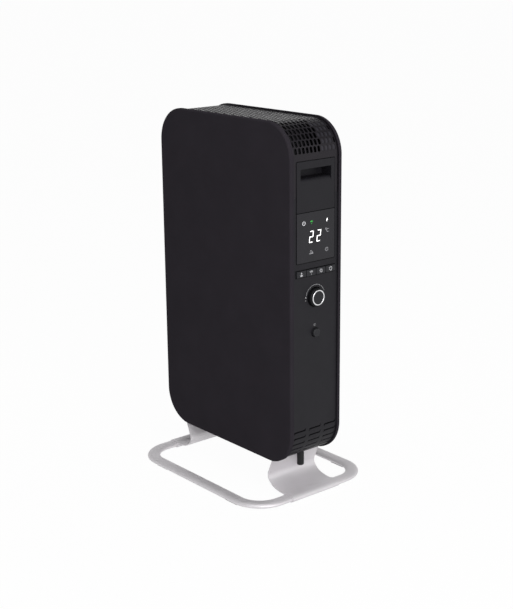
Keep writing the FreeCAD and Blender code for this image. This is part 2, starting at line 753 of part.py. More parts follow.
def vent_slots(end):
    """The rows of slots around an end cap's lower corner."""
    pitch = float(size.vent_length + size.vent_gap)
    depth = float(size.shell_wall) + float(size.shoulder_sheet) + 1
    gland_turn = math.acos(float(gland_x - corner_x) / float(cap_radius))
    gland_distance = gland_turn * float(cap_radius)
    cutters = []
    for row in range(int(float(size.vent_rows))):
        distance = row * float(size.vent_pitch) - float(size.vent_start)
        for column in (-1, 0, 1):
            near_gland = abs(distance - gland_distance) < float(pad_radius)
            if end > 0 and column == 0 and near_gland:
                continue
            slot = vent_outline(column * pitch, end)
            if distance <= 0:
                place = Vector(end * float(cap_face), 0, float(lower_corner_z) - distance)
                points = [place + Vector(end * 2, across, end * run) for across, run in slot]
                cutters.append(polygon_prism(points, Vector(-end * (2 + depth), 0, 0)))
            else:
                cutters.append(surface_prism(slot, -distance, end, 2, depth))
    return Part.makeCompound(cutters)


def plate_opening(name, end, foot):
    """The opening that the handle plate, and the window below it, sit in."""
    height = plate_top - foot + 2 * size.plate_gap
    start = cap_back - FAR / 10 if end > 0 else -cap_face - 1
    return rounded_block(
        name,
        "YZ_Plane",
        size.plate_width + 2 * size.plate_gap,
        height,
        size.plate_corner + size.plate_gap,
        FAR / 10 + size.shell_wall + 1,
        (start, 0, foot - size.plate_gap + height / 2),
    )


near_opening = plate_opening("control_opening", 1, window_foot)
far_opening = plate_opening("far_opening", -1, handle_foot)

# ---------------------------------------------------------------- top grille
grille_zone = box("grille_zone", both(FAR), both(FAR), (grille_foot, FAR))
top_grille = cut(
    "top_grille",
    overlap("grille_blank", grille_strip, grille_zone),
    near_opening,
    far_opening,
    feature("grille_holes", grille_holes()),
)

# ---------------------------------------------------------------- end caps
cap_top = grille_foot - size.part_gap
tongue_z = (base_top, base_top + size.tongue_sheet)


def screw_holes(name, end, low, high, radius):
    """Two holes for the stand screws of one end."""
    return [
        rod(f"{name}_{index}", radius, "Z", low, high, (end * screw_place, side * size.screw_spread))
        for index, side in enumerate((-1, 1))
    ]


def cap_blank(name, end):
    """The strip's lower corner and end wall, with a tongue that lies on the base plate."""
    x = (corner_x, FAR) if end > 0 else (-FAR, -corner_x)
    wall_part = overlap(name + "_wall", cap_strip, box(name + "_zone", x, both(FAR), (0, cap_top)))
    reach = corner_x + size.shell_wall * 2
    tongue_x = (tongue_end, reach) if end > 0 else (-reach, -tongue_end)
    tongue = box(name + "_tongue", tongue_x, both(size.tongue_width / 2), tongue_z)
    return [wall_part, tongue]


knob_z = body_top - size.knob_drop
key_z = body_top - size.key_row_drop
power_z = body_top - size.power_drop
control_board_top = body_top - size.control_board_drop
control_board_foot = control_board_top - size.control_board_height
control_board_face = cap_back - size.control_board_depth
power_board_top = body_top - size.power_board_drop
power_board_foot = power_board_top - size.power_board_height
power_board_face = cap_back - size.power_board_depth
post_y = size.board_width / 2 - size.post_inset
control_posts = [
    (side * post_y, height)
    for height in (control_board_top - size.control_post_drop, control_board_foot + size.post_inset)
    for side in (-1, 1)
]
power_posts = [
    (side * post_y, height)
    for height in (power_board_top - size.post_inset, power_board_foot + size.post_inset)
    for side in (-1, 1)
]
well_floor = cap_face - size.knob_well_depth
gland_foot = body_bottom - size.gland_reach
key_row = 4 * size.key_width + 3 * size.key_gap

posts = [
    rod(f"control_post_{index}", size.post_radius, "X", control_board_face, cap_back + 1, place)
    for index, place in enumerate(control_posts)
] + [
    rod(f"power_post_{index}", size.post_radius, "X", power_board_face, cap_back + 1, place)
    for index, place in enumerate(power_posts)
]
post_holes = [
    rod(f"cap_post_hole_{index}", size.board_screw_radius + size.press_clearance, "X", face,
        face + size.board_screw_length, place)
    for index, (face, place) in enumerate(
        [(control_board_face, place) for place in control_posts]
        + [(power_board_face, place) for place in power_posts]
    )
]
well_outside = rod("well_outside", size.knob_well_radius + size.knob_well_wall, "X",
                   well_floor - size.knob_well_floor, cap_back + 1, (0, knob_z))
gland_pad = overlap(
    "gland_pad",
    rod("gland_pad_blank", pad_radius, "Z", body_bottom, nut_foot, (gland_x, 0)),
    outline("gland_pad_limit", size.shell_inset + 1, size.shell_width / 2),
)
control_end_cap = cut(
    "control_end_cap",
    join("control_cap_blank", *cap_blank("control_cap", 1), *posts, well_outside, gland_pad),
    near_opening,
    box("key_opening", (cap_back - 1, cap_face + 1), both(key_row / 2 + size.key_frame_gap),
        around(key_z, size.key_height / 2 + size.key_frame_gap)),
    rod("knob_well", size.knob_well_radius, "X", well_floor, cap_face + 1, (0, knob_z)),
    rod("encoder_hole", size.encoder_neck_radius + size.encoder_hole_gap, "X",
        well_floor - size.knob_well_floor - 1, well_floor + 1, (0, knob_z)),
    rod("power_hole", size.power_hole_radius, "X", cap_back - 1, cap_face + 1, (0, power_z)),
    rod("gland_hole", size.gland_radius + size.press_clearance, "Z", 0, nut_foot + 1, (gland_x, 0)),
    feature("control_vents", vent_slots(1)),
    *post_holes,
    *screw_holes("control_cap_hole", 1, base_top - 1, base_top + size.tongue_sheet + 1,
                 size.screw_radius + size.running_clearance),
)
far_end_cap = cut(
    "far_end_cap",
    join("far_cap_blank", *cap_blank("far_cap", -1)),
    far_opening,
    feature("far_vents", vent_slots(-1)),
    *screw_holes("far_cap_hole", -1, base_top - 1, base_top + size.tongue_sheet + 1,
                 size.screw_radius + size.running_clearance),
)


# ---------------------------------------------------------------- base plate
SADDLED_SECTIONS = (2, 5)  # the third and the last but one, counted from the far end
saddle_places = [first_x + section * section_pitch for section in SADDLED_SECTIONS]
saddle_legs = [
    float(leg)
    for place in saddle_places
    for leg in around(place, size.saddle_length / 2 - size.saddle_sheet / 2)
]


def intake_slots():
    """Air slots across the base plate, in three columns: rows between the saddles and one in each."""
    last = int(float(size.intake_count)) - 1
    width = float(size.intake_width)
    length = float(size.vent_length)
    margin = float(size.intake_margin)
    first_row = saddle_legs[1] + margin
    run = saddle_legs[2] - margin - first_row
    rows = [first_row + run * index / last for index in range(last + 1)]
    slots = []
    for x in rows + [float(place) for place in saddle_places]:
        for column in (-1, 0, 1):
            y = column * float(size.vent_length + size.vent_gap)
            slot = Part.makeBox(width, length, FAR)
            slot.translate(Vector(x - width / 2, y - length / 2, 0))
            slots.append(slot)
    return Part.makeCompound(slots)


base_plate = cut(
    "base_plate",
    box("base_blank", both(corner_x - size.part_gap), both(size.shell_width / 2),
        (base_top - size.base_sheet, base_top)),
    feature("intake_slots", intake_slots()),
    *screw_holes("near_base_hole", 1, 0, FAR, size.screw_radius + size.running_clearance),
    *screw_holes("far_base_hole", -1, 0, FAR, size.screw_radius + size.running_clearance),
)


# ---------------------------------------------------------------- handle plates and display
def mirrored(name, source):
    """A copy of a piece for the far end, mirrored in the plane X = 0."""
    thing = doc.addObject("Part::Mirroring", name)
    thing.Source = source
    thing.Base = Vector(0, 0, 0)
    thing.Normal = Vector(1, 0, 0)
    return thing


pocket_top = plate_top - size.pocket_drop
pocket_lip = pocket_top - size.pocket_height
pocket_floor = pocket_lip + size.pocket_lip_rise
pocket_back = plate_face - size.pocket_depth


def pocket_space():
    """The finger space: a level floor that rolls over, in one smooth curve, down to the mouth."""
    front = float(plate_face)
    run = front - float(size.pocket_lip_run)
    back = float(pocket_back)
    top = float(pocket_top)
    lip = float(pocket_lip)
    floor = float(pocket_floor)
    half = float(size.pocket_width) / 2
    roll = Part.BezierCurve()
    roll.setPoles([Vector(run, -half, floor), Vector(front, -half, floor), Vector(front, -half, lip)])
    corners = [(front, lip), (front + 1, lip), (front + 1, top), (back, top), (back, floor), (run, floor)]
    points = [Vector(x, -half, z) for x, z in corners]
    straight = [Part.makeLine(a, b) for a, b in zip(points, points[1:])]
    return Part.Face(Part.Wire([roll.toShape()] + straight)).extrude(Vector(0, 2 * half, 0))


rim_y = both(size.plate_width / 2 + size.plate_gap + size.rim_overlap)
rim_top = plate_top + size.plate_gap + size.rim_overlap
rim_foot = window_foot - size.plate_gap - size.rim_overlap
rim_split = around(handle_foot - size.plate_seam / 2, size.part_gap / 2)


def plate_front(name, foot, height):
    """The rounded front of the handle plate or the window."""
    return rounded_block(name, "YZ_Plane", size.plate_width, height, size.plate_corner,
                         plate_face - cap_back, (cap_back, 0, foot + height / 2),
                         size.plate_edge_radius, "outer")


handle_plate = cut(
    "handle_plate",
    join(
        "handle_blank",
        plate_front("handle_front", handle_foot, size.handle_plate_height),
        box("handle_rim", (rim_back, cap_back), rim_y, (rim_split[1], rim_top)),
        box("pocket_block", (pocket_back - size.pocket_wall, cap_back),
            both(size.pocket_width / 2 + size.pocket_wall),
            (pocket_floor - size.pocket_wall, pocket_top + size.pocket_wall)),
    ),
    feature("pocket_space", pocket_space()),
)
far_handle_plate = mirrored("far_handle_plate", handle_plate)

display_window = plate_front("display_window", window_foot, size.window_height)

window_middle = window_top - size.window_height / 2
display_board_face = cap_back - size.display_board_depth
display_posts = [
    (y, z)
    for y in both(size.display_board_width / 2 - size.post_inset)
    for z in around(window_middle, size.display_board_height / 2 - size.post_inset)
]


def post_hole(name, face, place):
    """The blind hole that takes a board screw, from a post's end."""
    radius = size.board_screw_radius + size.press_clearance
    return rod(name, radius, "X", face, face + size.board_screw_length, place)


display_carrier = cut(
    "display_carrier",
    join(
        "carrier_blank",
        box("carrier_rim", (rim_back, cap_back), rim_y, (rim_foot, rim_split[0])),
        *[rod(f"display_post_{index}", size.post_radius, "X", display_board_face, rim_back + 1, place)
          for index, place in enumerate(display_posts)],
    ),
    box("carrier_aperture", (rim_back - 1, cap_back + 1), both(size.aperture / 2),
        around(window_middle, size.aperture / 2)),
    *[post_hole(f"display_post_hole_{index}", display_board_face, place)
      for index, place in enumerate(display_posts)],
)


def board(name, face, width, height, holes):
    """A circuit board whose front lies at X = face, with its screw holes."""
    back = face - size.board_sheet
    radius = size.board_screw_radius + size.running_clearance
    return cut(
        name,
        box(name + "_sheet", (back, face), both(width / 2), height),
        *[rod(f"{name}_hole_{index}", radius, "X", back - 1, face + 1, place)
          for index, place in enumerate(holes)],
    )


display_board = board("display_board", display_board_face, size.display_board_width,
                      around(window_middle, size.display_board_height / 2), display_posts)
led_module = box("led_module", (display_board_face, cap_back - size.stop_gap),
                 both(size.led_module_size / 2), around(window_middle, size.led_module_size / 2))
wireless_front = display_board_face - size.board_sheet
wireless_module = box("wireless_module", (wireless_front - size.wireless_sheet, wireless_front),
                      both(size.wireless_width / 2), around(window_middle, size.wireless_height / 2))

# ---------------------------------------------------------------- keys
key_back = cap_back - size.stop_gap - size.key_flange_sheet
key_face = cap_face + size.key_proud
stem_end = key_back - size.key_stem
key_places = [(index - 1.5) * (size.key_width + size.key_gap) for index in range(4)]


def key(name, y):
    """A flat key with a stop behind the wall and a stem that meets its switch."""
    front = rounded_block(name + "_front", "YZ_Plane", size.key_width, size.key_height,
                          size.key_edge_radius * 2, key_face - key_back, (key_back, y, key_z),
                          size.key_edge_radius, "outer")
    stop = box(name + "_stop", (key_back, key_back + size.key_flange_sheet),
               around(y, size.key_width / 2), around(key_z, size.key_height / 2 + size.key_flange))
    stem = box(name + "_stem", (stem_end, key_back), around(y, size.key_stem_side / 2),
               around(key_z, size.key_stem_side / 2))
    return join(name, front, stop, stem)


keys = [key(name, y) for name, y in zip(("lock_key", "wifi_key", "mode_key", "timer_key"), key_places)]

control_board = board("control_board", control_board_face, size.board_width,
                      (control_board_foot, control_board_top), control_posts)


def small_switch(index, y):
    """A square switch with a round plunger just short of its key's stem."""
    case_front = control_board_face + size.switch_depth
    case = box(f"switch_case_{index}", (control_board_face, case_front), around(y, size.switch_side / 2),
               around(key_z, size.switch_side / 2))
    plunger = rod(f"switch_plunger_{index}", size.plunger_radius, "X", case_front,
                  stem_end - size.key_free_play, (y, key_z))
    return join(f"switch_{index}", case, plunger)


key_switches = group("key_switches", *[small_switch(index, y) for index, y in enumerate(key_places)])

# ---------------------------------------------------------------- knob and encoder
knob_front = cap_face + size.knob_proud - size.ring_depth
knob_back = well_floor + size.knob_floor_gap
encoder_front = control_board_face + size.encoder_depth
neck_end = encoder_front + size.encoder_neck
bore_foot = control_board_face + size.encoder_floor
knob_inside = knob_front - size.knob_wall
on_knob_axis = (0, knob_z)
encoder_body = cut(
    "encoder_body",
    join(
        "encoder_blank",
        box("encoder_case", (control_board_face, encoder_front), both(size.encoder_side / 2),
            around(knob_z, size.encoder_side / 2)),
        rod("encoder_neck_blank", size.encoder_neck_radius, "X", encoder_front, neck_end, on_knob_axis),
    ),
    rod("encoder_bore", size.shaft_radius + size.running_clearance, "X", bore_foot, neck_end + 1,
        on_knob_axis),
)
encoder_shaft = rod("encoder_shaft", size.shaft_radius, "X", bore_foot + size.shaft_end_gap, knob_inside,
                    on_knob_axis)
knob_blank = rod("knob_blank", size.knob_radius, "X", knob_back, knob_front, on_knob_axis)
knob_body = cut(
    "knob_body",
    round_edges("knob_rounded", knob_blank, size.knob_edge_radius, edge_lies_at_x(knob_front)),
    cut("knob_hollow",
        rod("knob_space", size.knob_radius - size.knob_wall, "X", knob_back - 1, knob_inside,
            on_knob_axis),
        rod("knob_hub", size.knob_hub_radius, "X", neck_end + size.shaft_end_gap, knob_front,
            on_knob_axis)),
    rod("knob_bore", size.shaft_radius + size.press_clearance, "X", knob_back - 1, knob_inside,
        on_knob_axis),
)
ring_front = knob_front + size.ring_depth
ring_inner = size.ring_radius - size.ring_band
ring_blank = cut(
    "ring_blank",
    rod("ring_outside", size.ring_radius, "X", knob_front, ring_front, on_knob_axis),
    rod("ring_inside", ring_inner, "X", knob_front - 1, ring_front + 1, on_knob_axis),
)
knob_ring = round_edges("knob_ring", ring_blank, size.ring_round, edge_lies_at_x(ring_front))
knob_face = rod("knob_face", ring_inner - size.face_gap, "X", knob_front,
                ring_front - size.face_recess, on_knob_axis)

# ---------------------------------------------------------------- power button and mains switch
power_back = cap_back - size.stop_gap - size.power_flange_sheet
switch_front = power_board_face + size.power_switch_depth
button_face = cap_face + size.power_proud
button_stem_end = power_back - size.power_stem
on_power_axis = (0, power_z)
button_blank = join(
    "button_blank",
    rod("button_front", size.power_radius, "X", power_back, button_face, on_power_axis),
    rod("button_stop", size.power_flange_radius, "X", power_back, power_back + size.power_flange_sheet,
        on_power_axis),
    rod("button_stem", size.shaft_radius, "X", button_stem_end, power_back, on_power_axis),
)
power_button = round_edges("power_button", button_blank, size.power_edge_radius,
                           edge_lies_at_x(button_face))
power_switch = cut(
    "power_switch",
    box("switch_blank", (power_board_face, switch_front), both(size.power_switch_side / 2),
        around(power_z, size.power_switch_side / 2)),
    rod("switch_bore", size.shaft_radius + size.running_clearance, "X",
        button_stem_end - size.power_free_stroke, switch_front + 1, on_power_axis),
)

# ---------------------------------------------------------------- power board and its parts
power_board = board("power_board", power_board_face, size.board_width,
                    (power_board_foot, power_board_top), power_posts)


def on_power_board(name, depth, y, rise, height):
    """A boxed component on the power board's front face."""
    foot = power_board_foot + rise
    return box(name, (power_board_face, power_board_face + depth), y, (foot, foot + height))


relay = on_power_board("relay", size.relay_depth, around(-size.component_spread, size.relay_width / 2),
                       size.component_rise, size.relay_height)
transformer = on_power_board("transformer", size.transformer_depth,
                             around(size.component_spread, size.transformer_side / 2),
                             size.component_rise, size.transformer_side)
tilt_switch = on_power_board("tilt_switch", size.tilt_switch_depth, both(size.tilt_switch_width / 2),
                             size.tilt_switch_rise, size.tilt_switch_height)
capacitor = rod("capacitor", size.capacitor_radius, "X", power_board_face,
                power_board_face + size.capacitor_depth,
                (size.component_spread, power_board_foot + size.capacitor_rise))
block_front = power_board_face - size.board_sheet
block_foot = power_board_foot + size.block_rise
terminal_block = box("terminal_block", (block_front - size.block_depth, block_front),
                     both(size.block_width / 2), (block_foot, block_foot + size.block_depth))
room_sensor = box("room_sensor", (cap_back - size.sensor_side, cap_back),
                  around(size.sensor_spread, size.sensor_width / 2),
                  around(lower_corner_z + size.sensor_rise, size.sensor_side / 2))


def headed_screw(name, radius, head_radius, head_height, axis, seat, end, place):
    """A pan-head screw: its head ends at the seat, and its shank runs on to the end."""
    head = rod(name + "_head", head_radius, axis, seat - head_height, seat, place)
    shank = rod(name + "_shank", radius, axis, seat, end, place)
    return join(name, head, shank)


def board_screw(index, place, face):
    """A small screw that goes through a board into its post."""
    end = face - size.board_sheet + size.board_screw_length
    return headed_screw(f"board_screw_{index}", size.board_screw_radius, size.board_screw_head_radius,
                        size.board_screw_head, "X", face - size.board_sheet, end, place)


screw_seats = (
    [(place, control_board_face) for place in control_posts]
    + [(place, power_board_face) for place in power_posts]
    + [(place, display_board_face) for place in display_posts]
)
board_screws = group("board_screws", *[board_screw(index, place, face)
                                       for index, (place, face) in enumerate(screw_seats)])

# ---------------------------------------------------------------- cable gland
gland_top = gland_foot + size.gland_length
gland_rod = rod("gland_rod", size.gland_radius, "Z", gland_foot, gland_top, (gland_x, 0))
gland_rounded = round_edges("gland_rounded", gland_rod, size.gland_round,
                            lambda edge: abs(edge.Vertexes[0].Z - float(gland_foot)) < 1e-6)
cable_gland = cut("cable_gland", gland_rounded,
                  rod("gland_passage", size.gland_bore, "Z", gland_foot - 1, gland_top + 1, (gland_x, 0)))
nut_top = nut_foot + size.gland_nut_height


def hexagon_prism(radius, axis, start, end, centre):
    """A six-sided prism along Z or X; centre gives its two other coordinates."""
    radius, start, end = float(radius), float(start), float(end)
    centre = [float(value) for value in centre]
    corners = []
    for corner in range(6):
        turn = corner * math.pi / 3
        u = radius * math.cos(turn)
        v = radius * math.sin(turn)
        if axis == "Z":
            corners.append((centre[0] + u, centre[1] + v, start))
        else:
            corners.append((start, centre[0] + u, centre[1] + v))
    direction = Vector(0, 0, end - start) if axis == "Z" else Vector(end - start, 0, 0)
    return polygon_prism(corners, direction)


gland_nut = cut(
    "gland_nut",
    feature("nut_blank", hexagon_prism(size.gland_nut_radius, "Z", nut_foot, nut_top, (gland_x, 0))),
    rod("nut_bore", size.gland_radius + size.press_clearance, "Z", nut_foot - 1, nut_top + 1, (gland_x, 0)),
)

# ---------------------------------------------------------------- oil core
section_top = section_foot + section_height
section_middle = section_foot + section_height / 2
lower_header = section_foot + size.header_inset
upper_header = section_top - size.header_inset


def oil_section(index):
    """A hollow section of two welded sheets, joined to its neighbours by its headers."""
    name = f"oil_section_{index + 1}"
    x = first_x + index * section_pitch
    left = section_pitch / 2 if index > 0 else size.channel_thickness / 2 + size.header_end
    right = section_pitch / 2 if index < SECTIONS - 1 else size.channel_thickness / 2 + size.header_end
    channel_depth = size.section_depth - 2 * size.channel_inset
    channel_height = section_height - 2 * size.channel_inset
    channel_corner = size.section_corner - size.channel_inset

    def slab(part, depth, height, corner, thickness):
        """A rounded slab across the section's middle plane."""
        return rounded_block(f"{name}_{part}", "YZ_Plane", depth, height, corner, thickness,
                             (x - thickness / 2, 0, section_middle))

    pieces = [
        slab("seam", size.section_depth, section_height, size.section_corner, size.section_seam),
        slab("channel", channel_depth, channel_height, channel_corner, size.channel_thickness),
    ]
    hollow = 2 * size.oil_wall
    tools = [slab("oil", channel_depth - hollow, channel_height - hollow, channel_corner - size.oil_wall,
                  size.channel_thickness - hollow)]
    ends = (x - left, x + right)
    for level, z in enumerate((lower_header, upper_header)):
        pieces.append(rod(f"{name}_header_{level}", size.header_radius, "X", *ends, (0, z)))
        tools.append(rod(f"{name}_bore_{level}", size.header_bore, "X", ends[0] - 1, ends[1] + 1, (0, z)))
    return cut(name, join(name + "_blank", *pieces), *tools)


sections = [oil_section(index) for index in range(SECTIONS)]
core_near = last_x + size.channel_thickness / 2 + size.header_end
core_far = first_x - size.channel_thickness / 2 - size.header_end


def header_plug(name, end, z):
    """A steel plug: a disc on the header's end with a spigot inside its bore."""
    if end > 0:
        disc_x = (core_near, core_near + size.plug_sheet)
        spigot_x = (core_near - size.plug_spigot, core_near)
    else:
        disc_x = (core_far - size.plug_sheet, core_far)
        spigot_x = (core_far, core_far + size.plug_spigot)
    disc = rod(name + "_disc", size.header_radius, "X", *disc_x, (0, z))
    spigot = rod(name + "_spigot", size.header_bore - size.press_clearance, "X", *spigot_x, (0, z))
    return [disc, spigot]


header_plugs = group(
    "header_plugs",
    join("far_lower_plug", *header_plug("far_lower", -1, lower_header)),
    join("far_upper_plug", *header_plug("far_upper", -1, upper_header)),
)
fill_plug_front = core_near + size.plug_sheet
oil_fill_plug = join(
    "oil_fill_plug",
    *header_plug("fill_plug", 1, upper_header),
    feature("fill_plug_hexagon", hexagon_prism(size.hex_key_radius, "X", fill_plug_front,
                                               fill_plug_front + size.hex_key_height, (0, upper_header))),
)

# ---------------------------------------------------------------- heating element
flange_x = core_near + size.gasket_sheet
on_lower_axis = (0, lower_header)
element_gasket = cut(
    "element_gasket",
    rod("gasket_disc", size.element_flange_radius, "X", core_near, flange_x, on_lower_axis),
    rod("gasket_hole", size.header_bore, "X", core_near - 1, flange_x + 1, on_lower_axis),
)
flange_front = flange_x + size.plug_sheet
terminal_end = flange_front + size.terminal_length


def round_sweep(path, radius, start):
    """A round bar along a path that starts along X."""
    ring = Part.Wire(Part.makeCircle(float(radius), start, Vector(1, 0, 0)))
    return path.makePipeShell([ring], True, False)


def heating_rod():
    """A bent rod: two legs along the lower header, joined by a half turn."""
    start = float(flange_x)
    spread = float(size.element_spread)
    turn = float(core_far + size.element_end_gap + size.element_radius) + spread
    z = float(lower_header)
    path = Part.Wire([
        Part.makeLine(Vector(start, -spread, z), Vector(turn, -spread, z)),
        Part.Arc(Vector(turn, -spread, z), Vector(turn - spread, 0, z), Vector(turn, spread, z)).toShape(),
        Part.makeLine(Vector(turn, spread, z), Vector(start, spread, z)),
    ])
    return round_sweep(path, size.element_radius, Vector(start, -spread, z))


heating_element = join(
    "heating_element",
    feature("heating_rod", heating_rod()),
    rod("element_flange", size.element_flange_radius, "X", flange_x, flange_front, on_lower_axis),
    *[rod(f"element_terminal_{index}", size.terminal_radius, "X", flange_front, terminal_end,
          (side * size.element_spread, lower_header))
      for index, side in enumerate((-1, 1))],
)


def element_lead(side):
    """An insulated lead from a terminal, round one bend, up to the terminal block."""
    y = side * float(size.element_spread)
    bend = float(size.lead_bend)
    start = float(terminal_end)
    level = float(lower_header)
    upright = float(block_front - size.block_depth / 2)
    corner = Vector(upright - bend, y, level + bend)
    middle = corner + Vector(bend * math.sin(math.pi / 4), 0, -bend * math.cos(math.pi / 4))
    path = Part.Wire([
        Part.makeLine(Vector(start, y, level), Vector(upright - bend, y, level)),
        Part.Arc(Vector(upright - bend, y, level), middle, Vector(upright, y, level + bend)).toShape(),
        Part.makeLine(Vector(upright, y, level + bend), Vector(upright, y, float(block_foot))),
    ])
    return round_sweep(path, size.lead_radius, Vector(start, y, level))


element_leads = group("element_leads", *[feature(f"element_lead_{index}", element_lead(side))
                                         for index, side in enumerate((-1, 1))])
last_section_face = last_x + size.channel_thickness / 2
thermal_cutout = rod("thermal_cutout", size.cutout_radius, "X", last_section_face,
                     last_section_face + size.cutout_depth, (0, section_foot + size.cutout_rise))

# ---------------------------------------------------------------- partition and saddles
partition_foot_z = base_top + size.tongue_sheet
partition_x = (partition_place, partition_place + size.partition_sheet)
near_partition = cut(
    "near_partition",
    join(
        "partition_blank",
        box("partition_plate", partition_x, both(size.partition_width / 2),
            (partition_foot_z, body_top - wall_inset - size.shoulder_sheet)),
        box("partition_flange", (partition_x[1], partition_x[1] + size.partition_foot),
            both(size.tongue_width / 2), (partition_foot_z, partition_foot_z + size.partition_sheet)),
    ),
    rod("partition_opening", size.partition_hole, "X", partition_x[0] - 1, partition_x[1] + 1,
        on_lower_axis),
)


def saddle(index, x):
    """A folded saddle that carries one section on the base plate."""
    outer = box(f"saddle_outer_{index}", around(x, size.saddle_length / 2), both(size.saddle_width / 2),
                (base_top, section_foot))
    inner = box(f"saddle_inner_{index}", around(x, size.saddle_length / 2 - size.saddle_sheet),
                both(size.saddle_width / 2 + 1), (base_top - 1, section_foot - size.saddle_sheet))
    return cut(f"saddle_{index}", outer, inner)


core_saddles = group("core_saddles", *[saddle(index, x) for index, x in enumerate(saddle_places)])

# ---------------------------------------------------------------- stand
tube_y = size.stand_width / 2 - size.tube_width / 2
tube_z = size.pad_sheet + size.tube_height / 2


def flat_oval(grown, centre):
    """The tube's section as a wire: two level lines and two half ellipses, in a plane of constant Y.

    It is drawn larger all round by the distance that it is grown, or smaller if that is negative.
    """
    run = float(size.tube_flat) / 2
    half = float(size.tube_height) / 2 + grown
    end = float(size.tube_width) / 2 + grown

    def at(x, z):
        return Vector(centre[0] + x, centre[1], centre[2] + z)

    def half_ellipse(side):
        ellipse = Part.Ellipse(at(side * end, 0), at(side * run, side * half), at(side * run, 0))
        return Part.ArcOfEllipse(ellipse, -math.pi / 2, math.pi / 2).toShape()

    return Part.Wire([
        Part.makeLine(at(-run, -half), at(run, -half)),
        half_ellipse(1),
        Part.makeLine(at(run, half), at(-run, half)),
        half_ellipse(-1),
    ])


def tube_loop(grown):
    """The tube's section swept round the stand's rounded rectangle."""
    a = float(tube_x)
    b = float(tube_y)
    r = float(size.stand_corner)
    z = float(tube_z)
    pieces = []
    face = Part.Face(flat_oval(grown, (a, 0, z)))
    for turn in (0, 180):
        side = face.copy()
        side.translate(Vector(0, r - b, 0))
        side = side.extrude(Vector(0, 2 * (b - r), 0))
        side.rotate(Vector(), Vector(0, 0, 1), turn)
        pieces.append(side)
        long_side = Part.Face(flat_oval(grown, (b, 0, z)))
        long_side.translate(Vector(0, r - a, 0))
        long_side = long_side.extrude(Vector(0, 2 * (a - r), 0))
        long_side.rotate(Vector(), Vector(0, 0, 1), 90 + turn)
        pieces.append(long_side)
    corner = face.copy()
    corner.translate(Vector(0, b - r, 0))
    corner = corner.revolve(Vector(a - r, b - r, 0), Vector(0, 0, 1), 90)
    for flip_x in (False, True):
        for flip_y in (False, True):
            piece = corner.copy()
            if flip_x:
                piece = piece.mirror(Vector(), Vector(1, 0, 0))
            if flip_y:
                piece = piece.mirror(Vector(), Vector(0, 1, 0))
            pieces.append(piece)
    return pieces[0].multiFuse(pieces[1:]).removeSplitter()


stand_loop = cut("stand_loop", feature("loop_outside", tube_loop(0)),
                 feature("loop_inside", tube_loop(-float(size.tube_wall))))


def corners(x, y):
    """The four places that mirror each other about both middle planes."""
    return [(side_x * x, side_y * y) for side_x in (-1, 1) for side_y in (-1, 1)]


pad_place = tube_x - size.stand_corner - size.pad_length / 2
foot_pads = group("foot_pads", *[
    box(f"foot_pad_{index}", around(x, size.pad_length / 2), around(y, size.pad_width / 2),
        (0, size.pad_sheet))
    for index, (x, y) in enumerate(corners(pad_place, tube_y))
])


def bent_strip(start, heading, steps, thickness):
    """The edge-on face of a bent sheet in the plane Y = 0.

    It starts at (x, z) with a heading in degrees from +X towards +Z. A step is ("run", length)
    or ("bend", radius, turn), where a positive turn goes from +X towards +Z.
    """
    point = Vector(start[0], 0, start[1])
    left = []
    right = []

    def beside(place, angle, shift):
        return place + Vector(-math.sin(angle), 0, math.cos(angle)) * shift

    half = thickness / 2
    angle = math.radians(heading)
    first = (beside(point, angle, half), beside(point, angle, -half))
    for step in steps:
        if step[0] == "run":
            target = point + Vector(math.cos(angle), 0, math.sin(angle)) * step[1]
            left.append(Part.makeLine(beside(point, angle, half), beside(target, angle, half)))
            right.append(Part.makeLine(beside(point, angle, -half), beside(target, angle, -half)))
            point = target
            continue
        turn = math.radians(step[2])
        side = math.copysign(1, turn)
        centre = beside(point, angle, side * step[1])
        stations = [angle, angle + turn / 2, angle + turn]
        path = [beside(centre, station, -side * step[1]) for station in stations]
        for edges, shift in ((left, half), (right, -half)):
            a, b, c = [beside(place, station, shift) for place, station in zip(path, stations)]
            edges.append(Part.Arc(a, b, c).toShape())
        point = path[2]
        angle = stations[2]
    last = (beside(point, angle, half), beside(point, angle, -half))
    ends = [Part.makeLine(*first), Part.makeLine(*last)]
    return Part.Face(Part.Wire(Part.__sortEdges__(left + right + ends)))


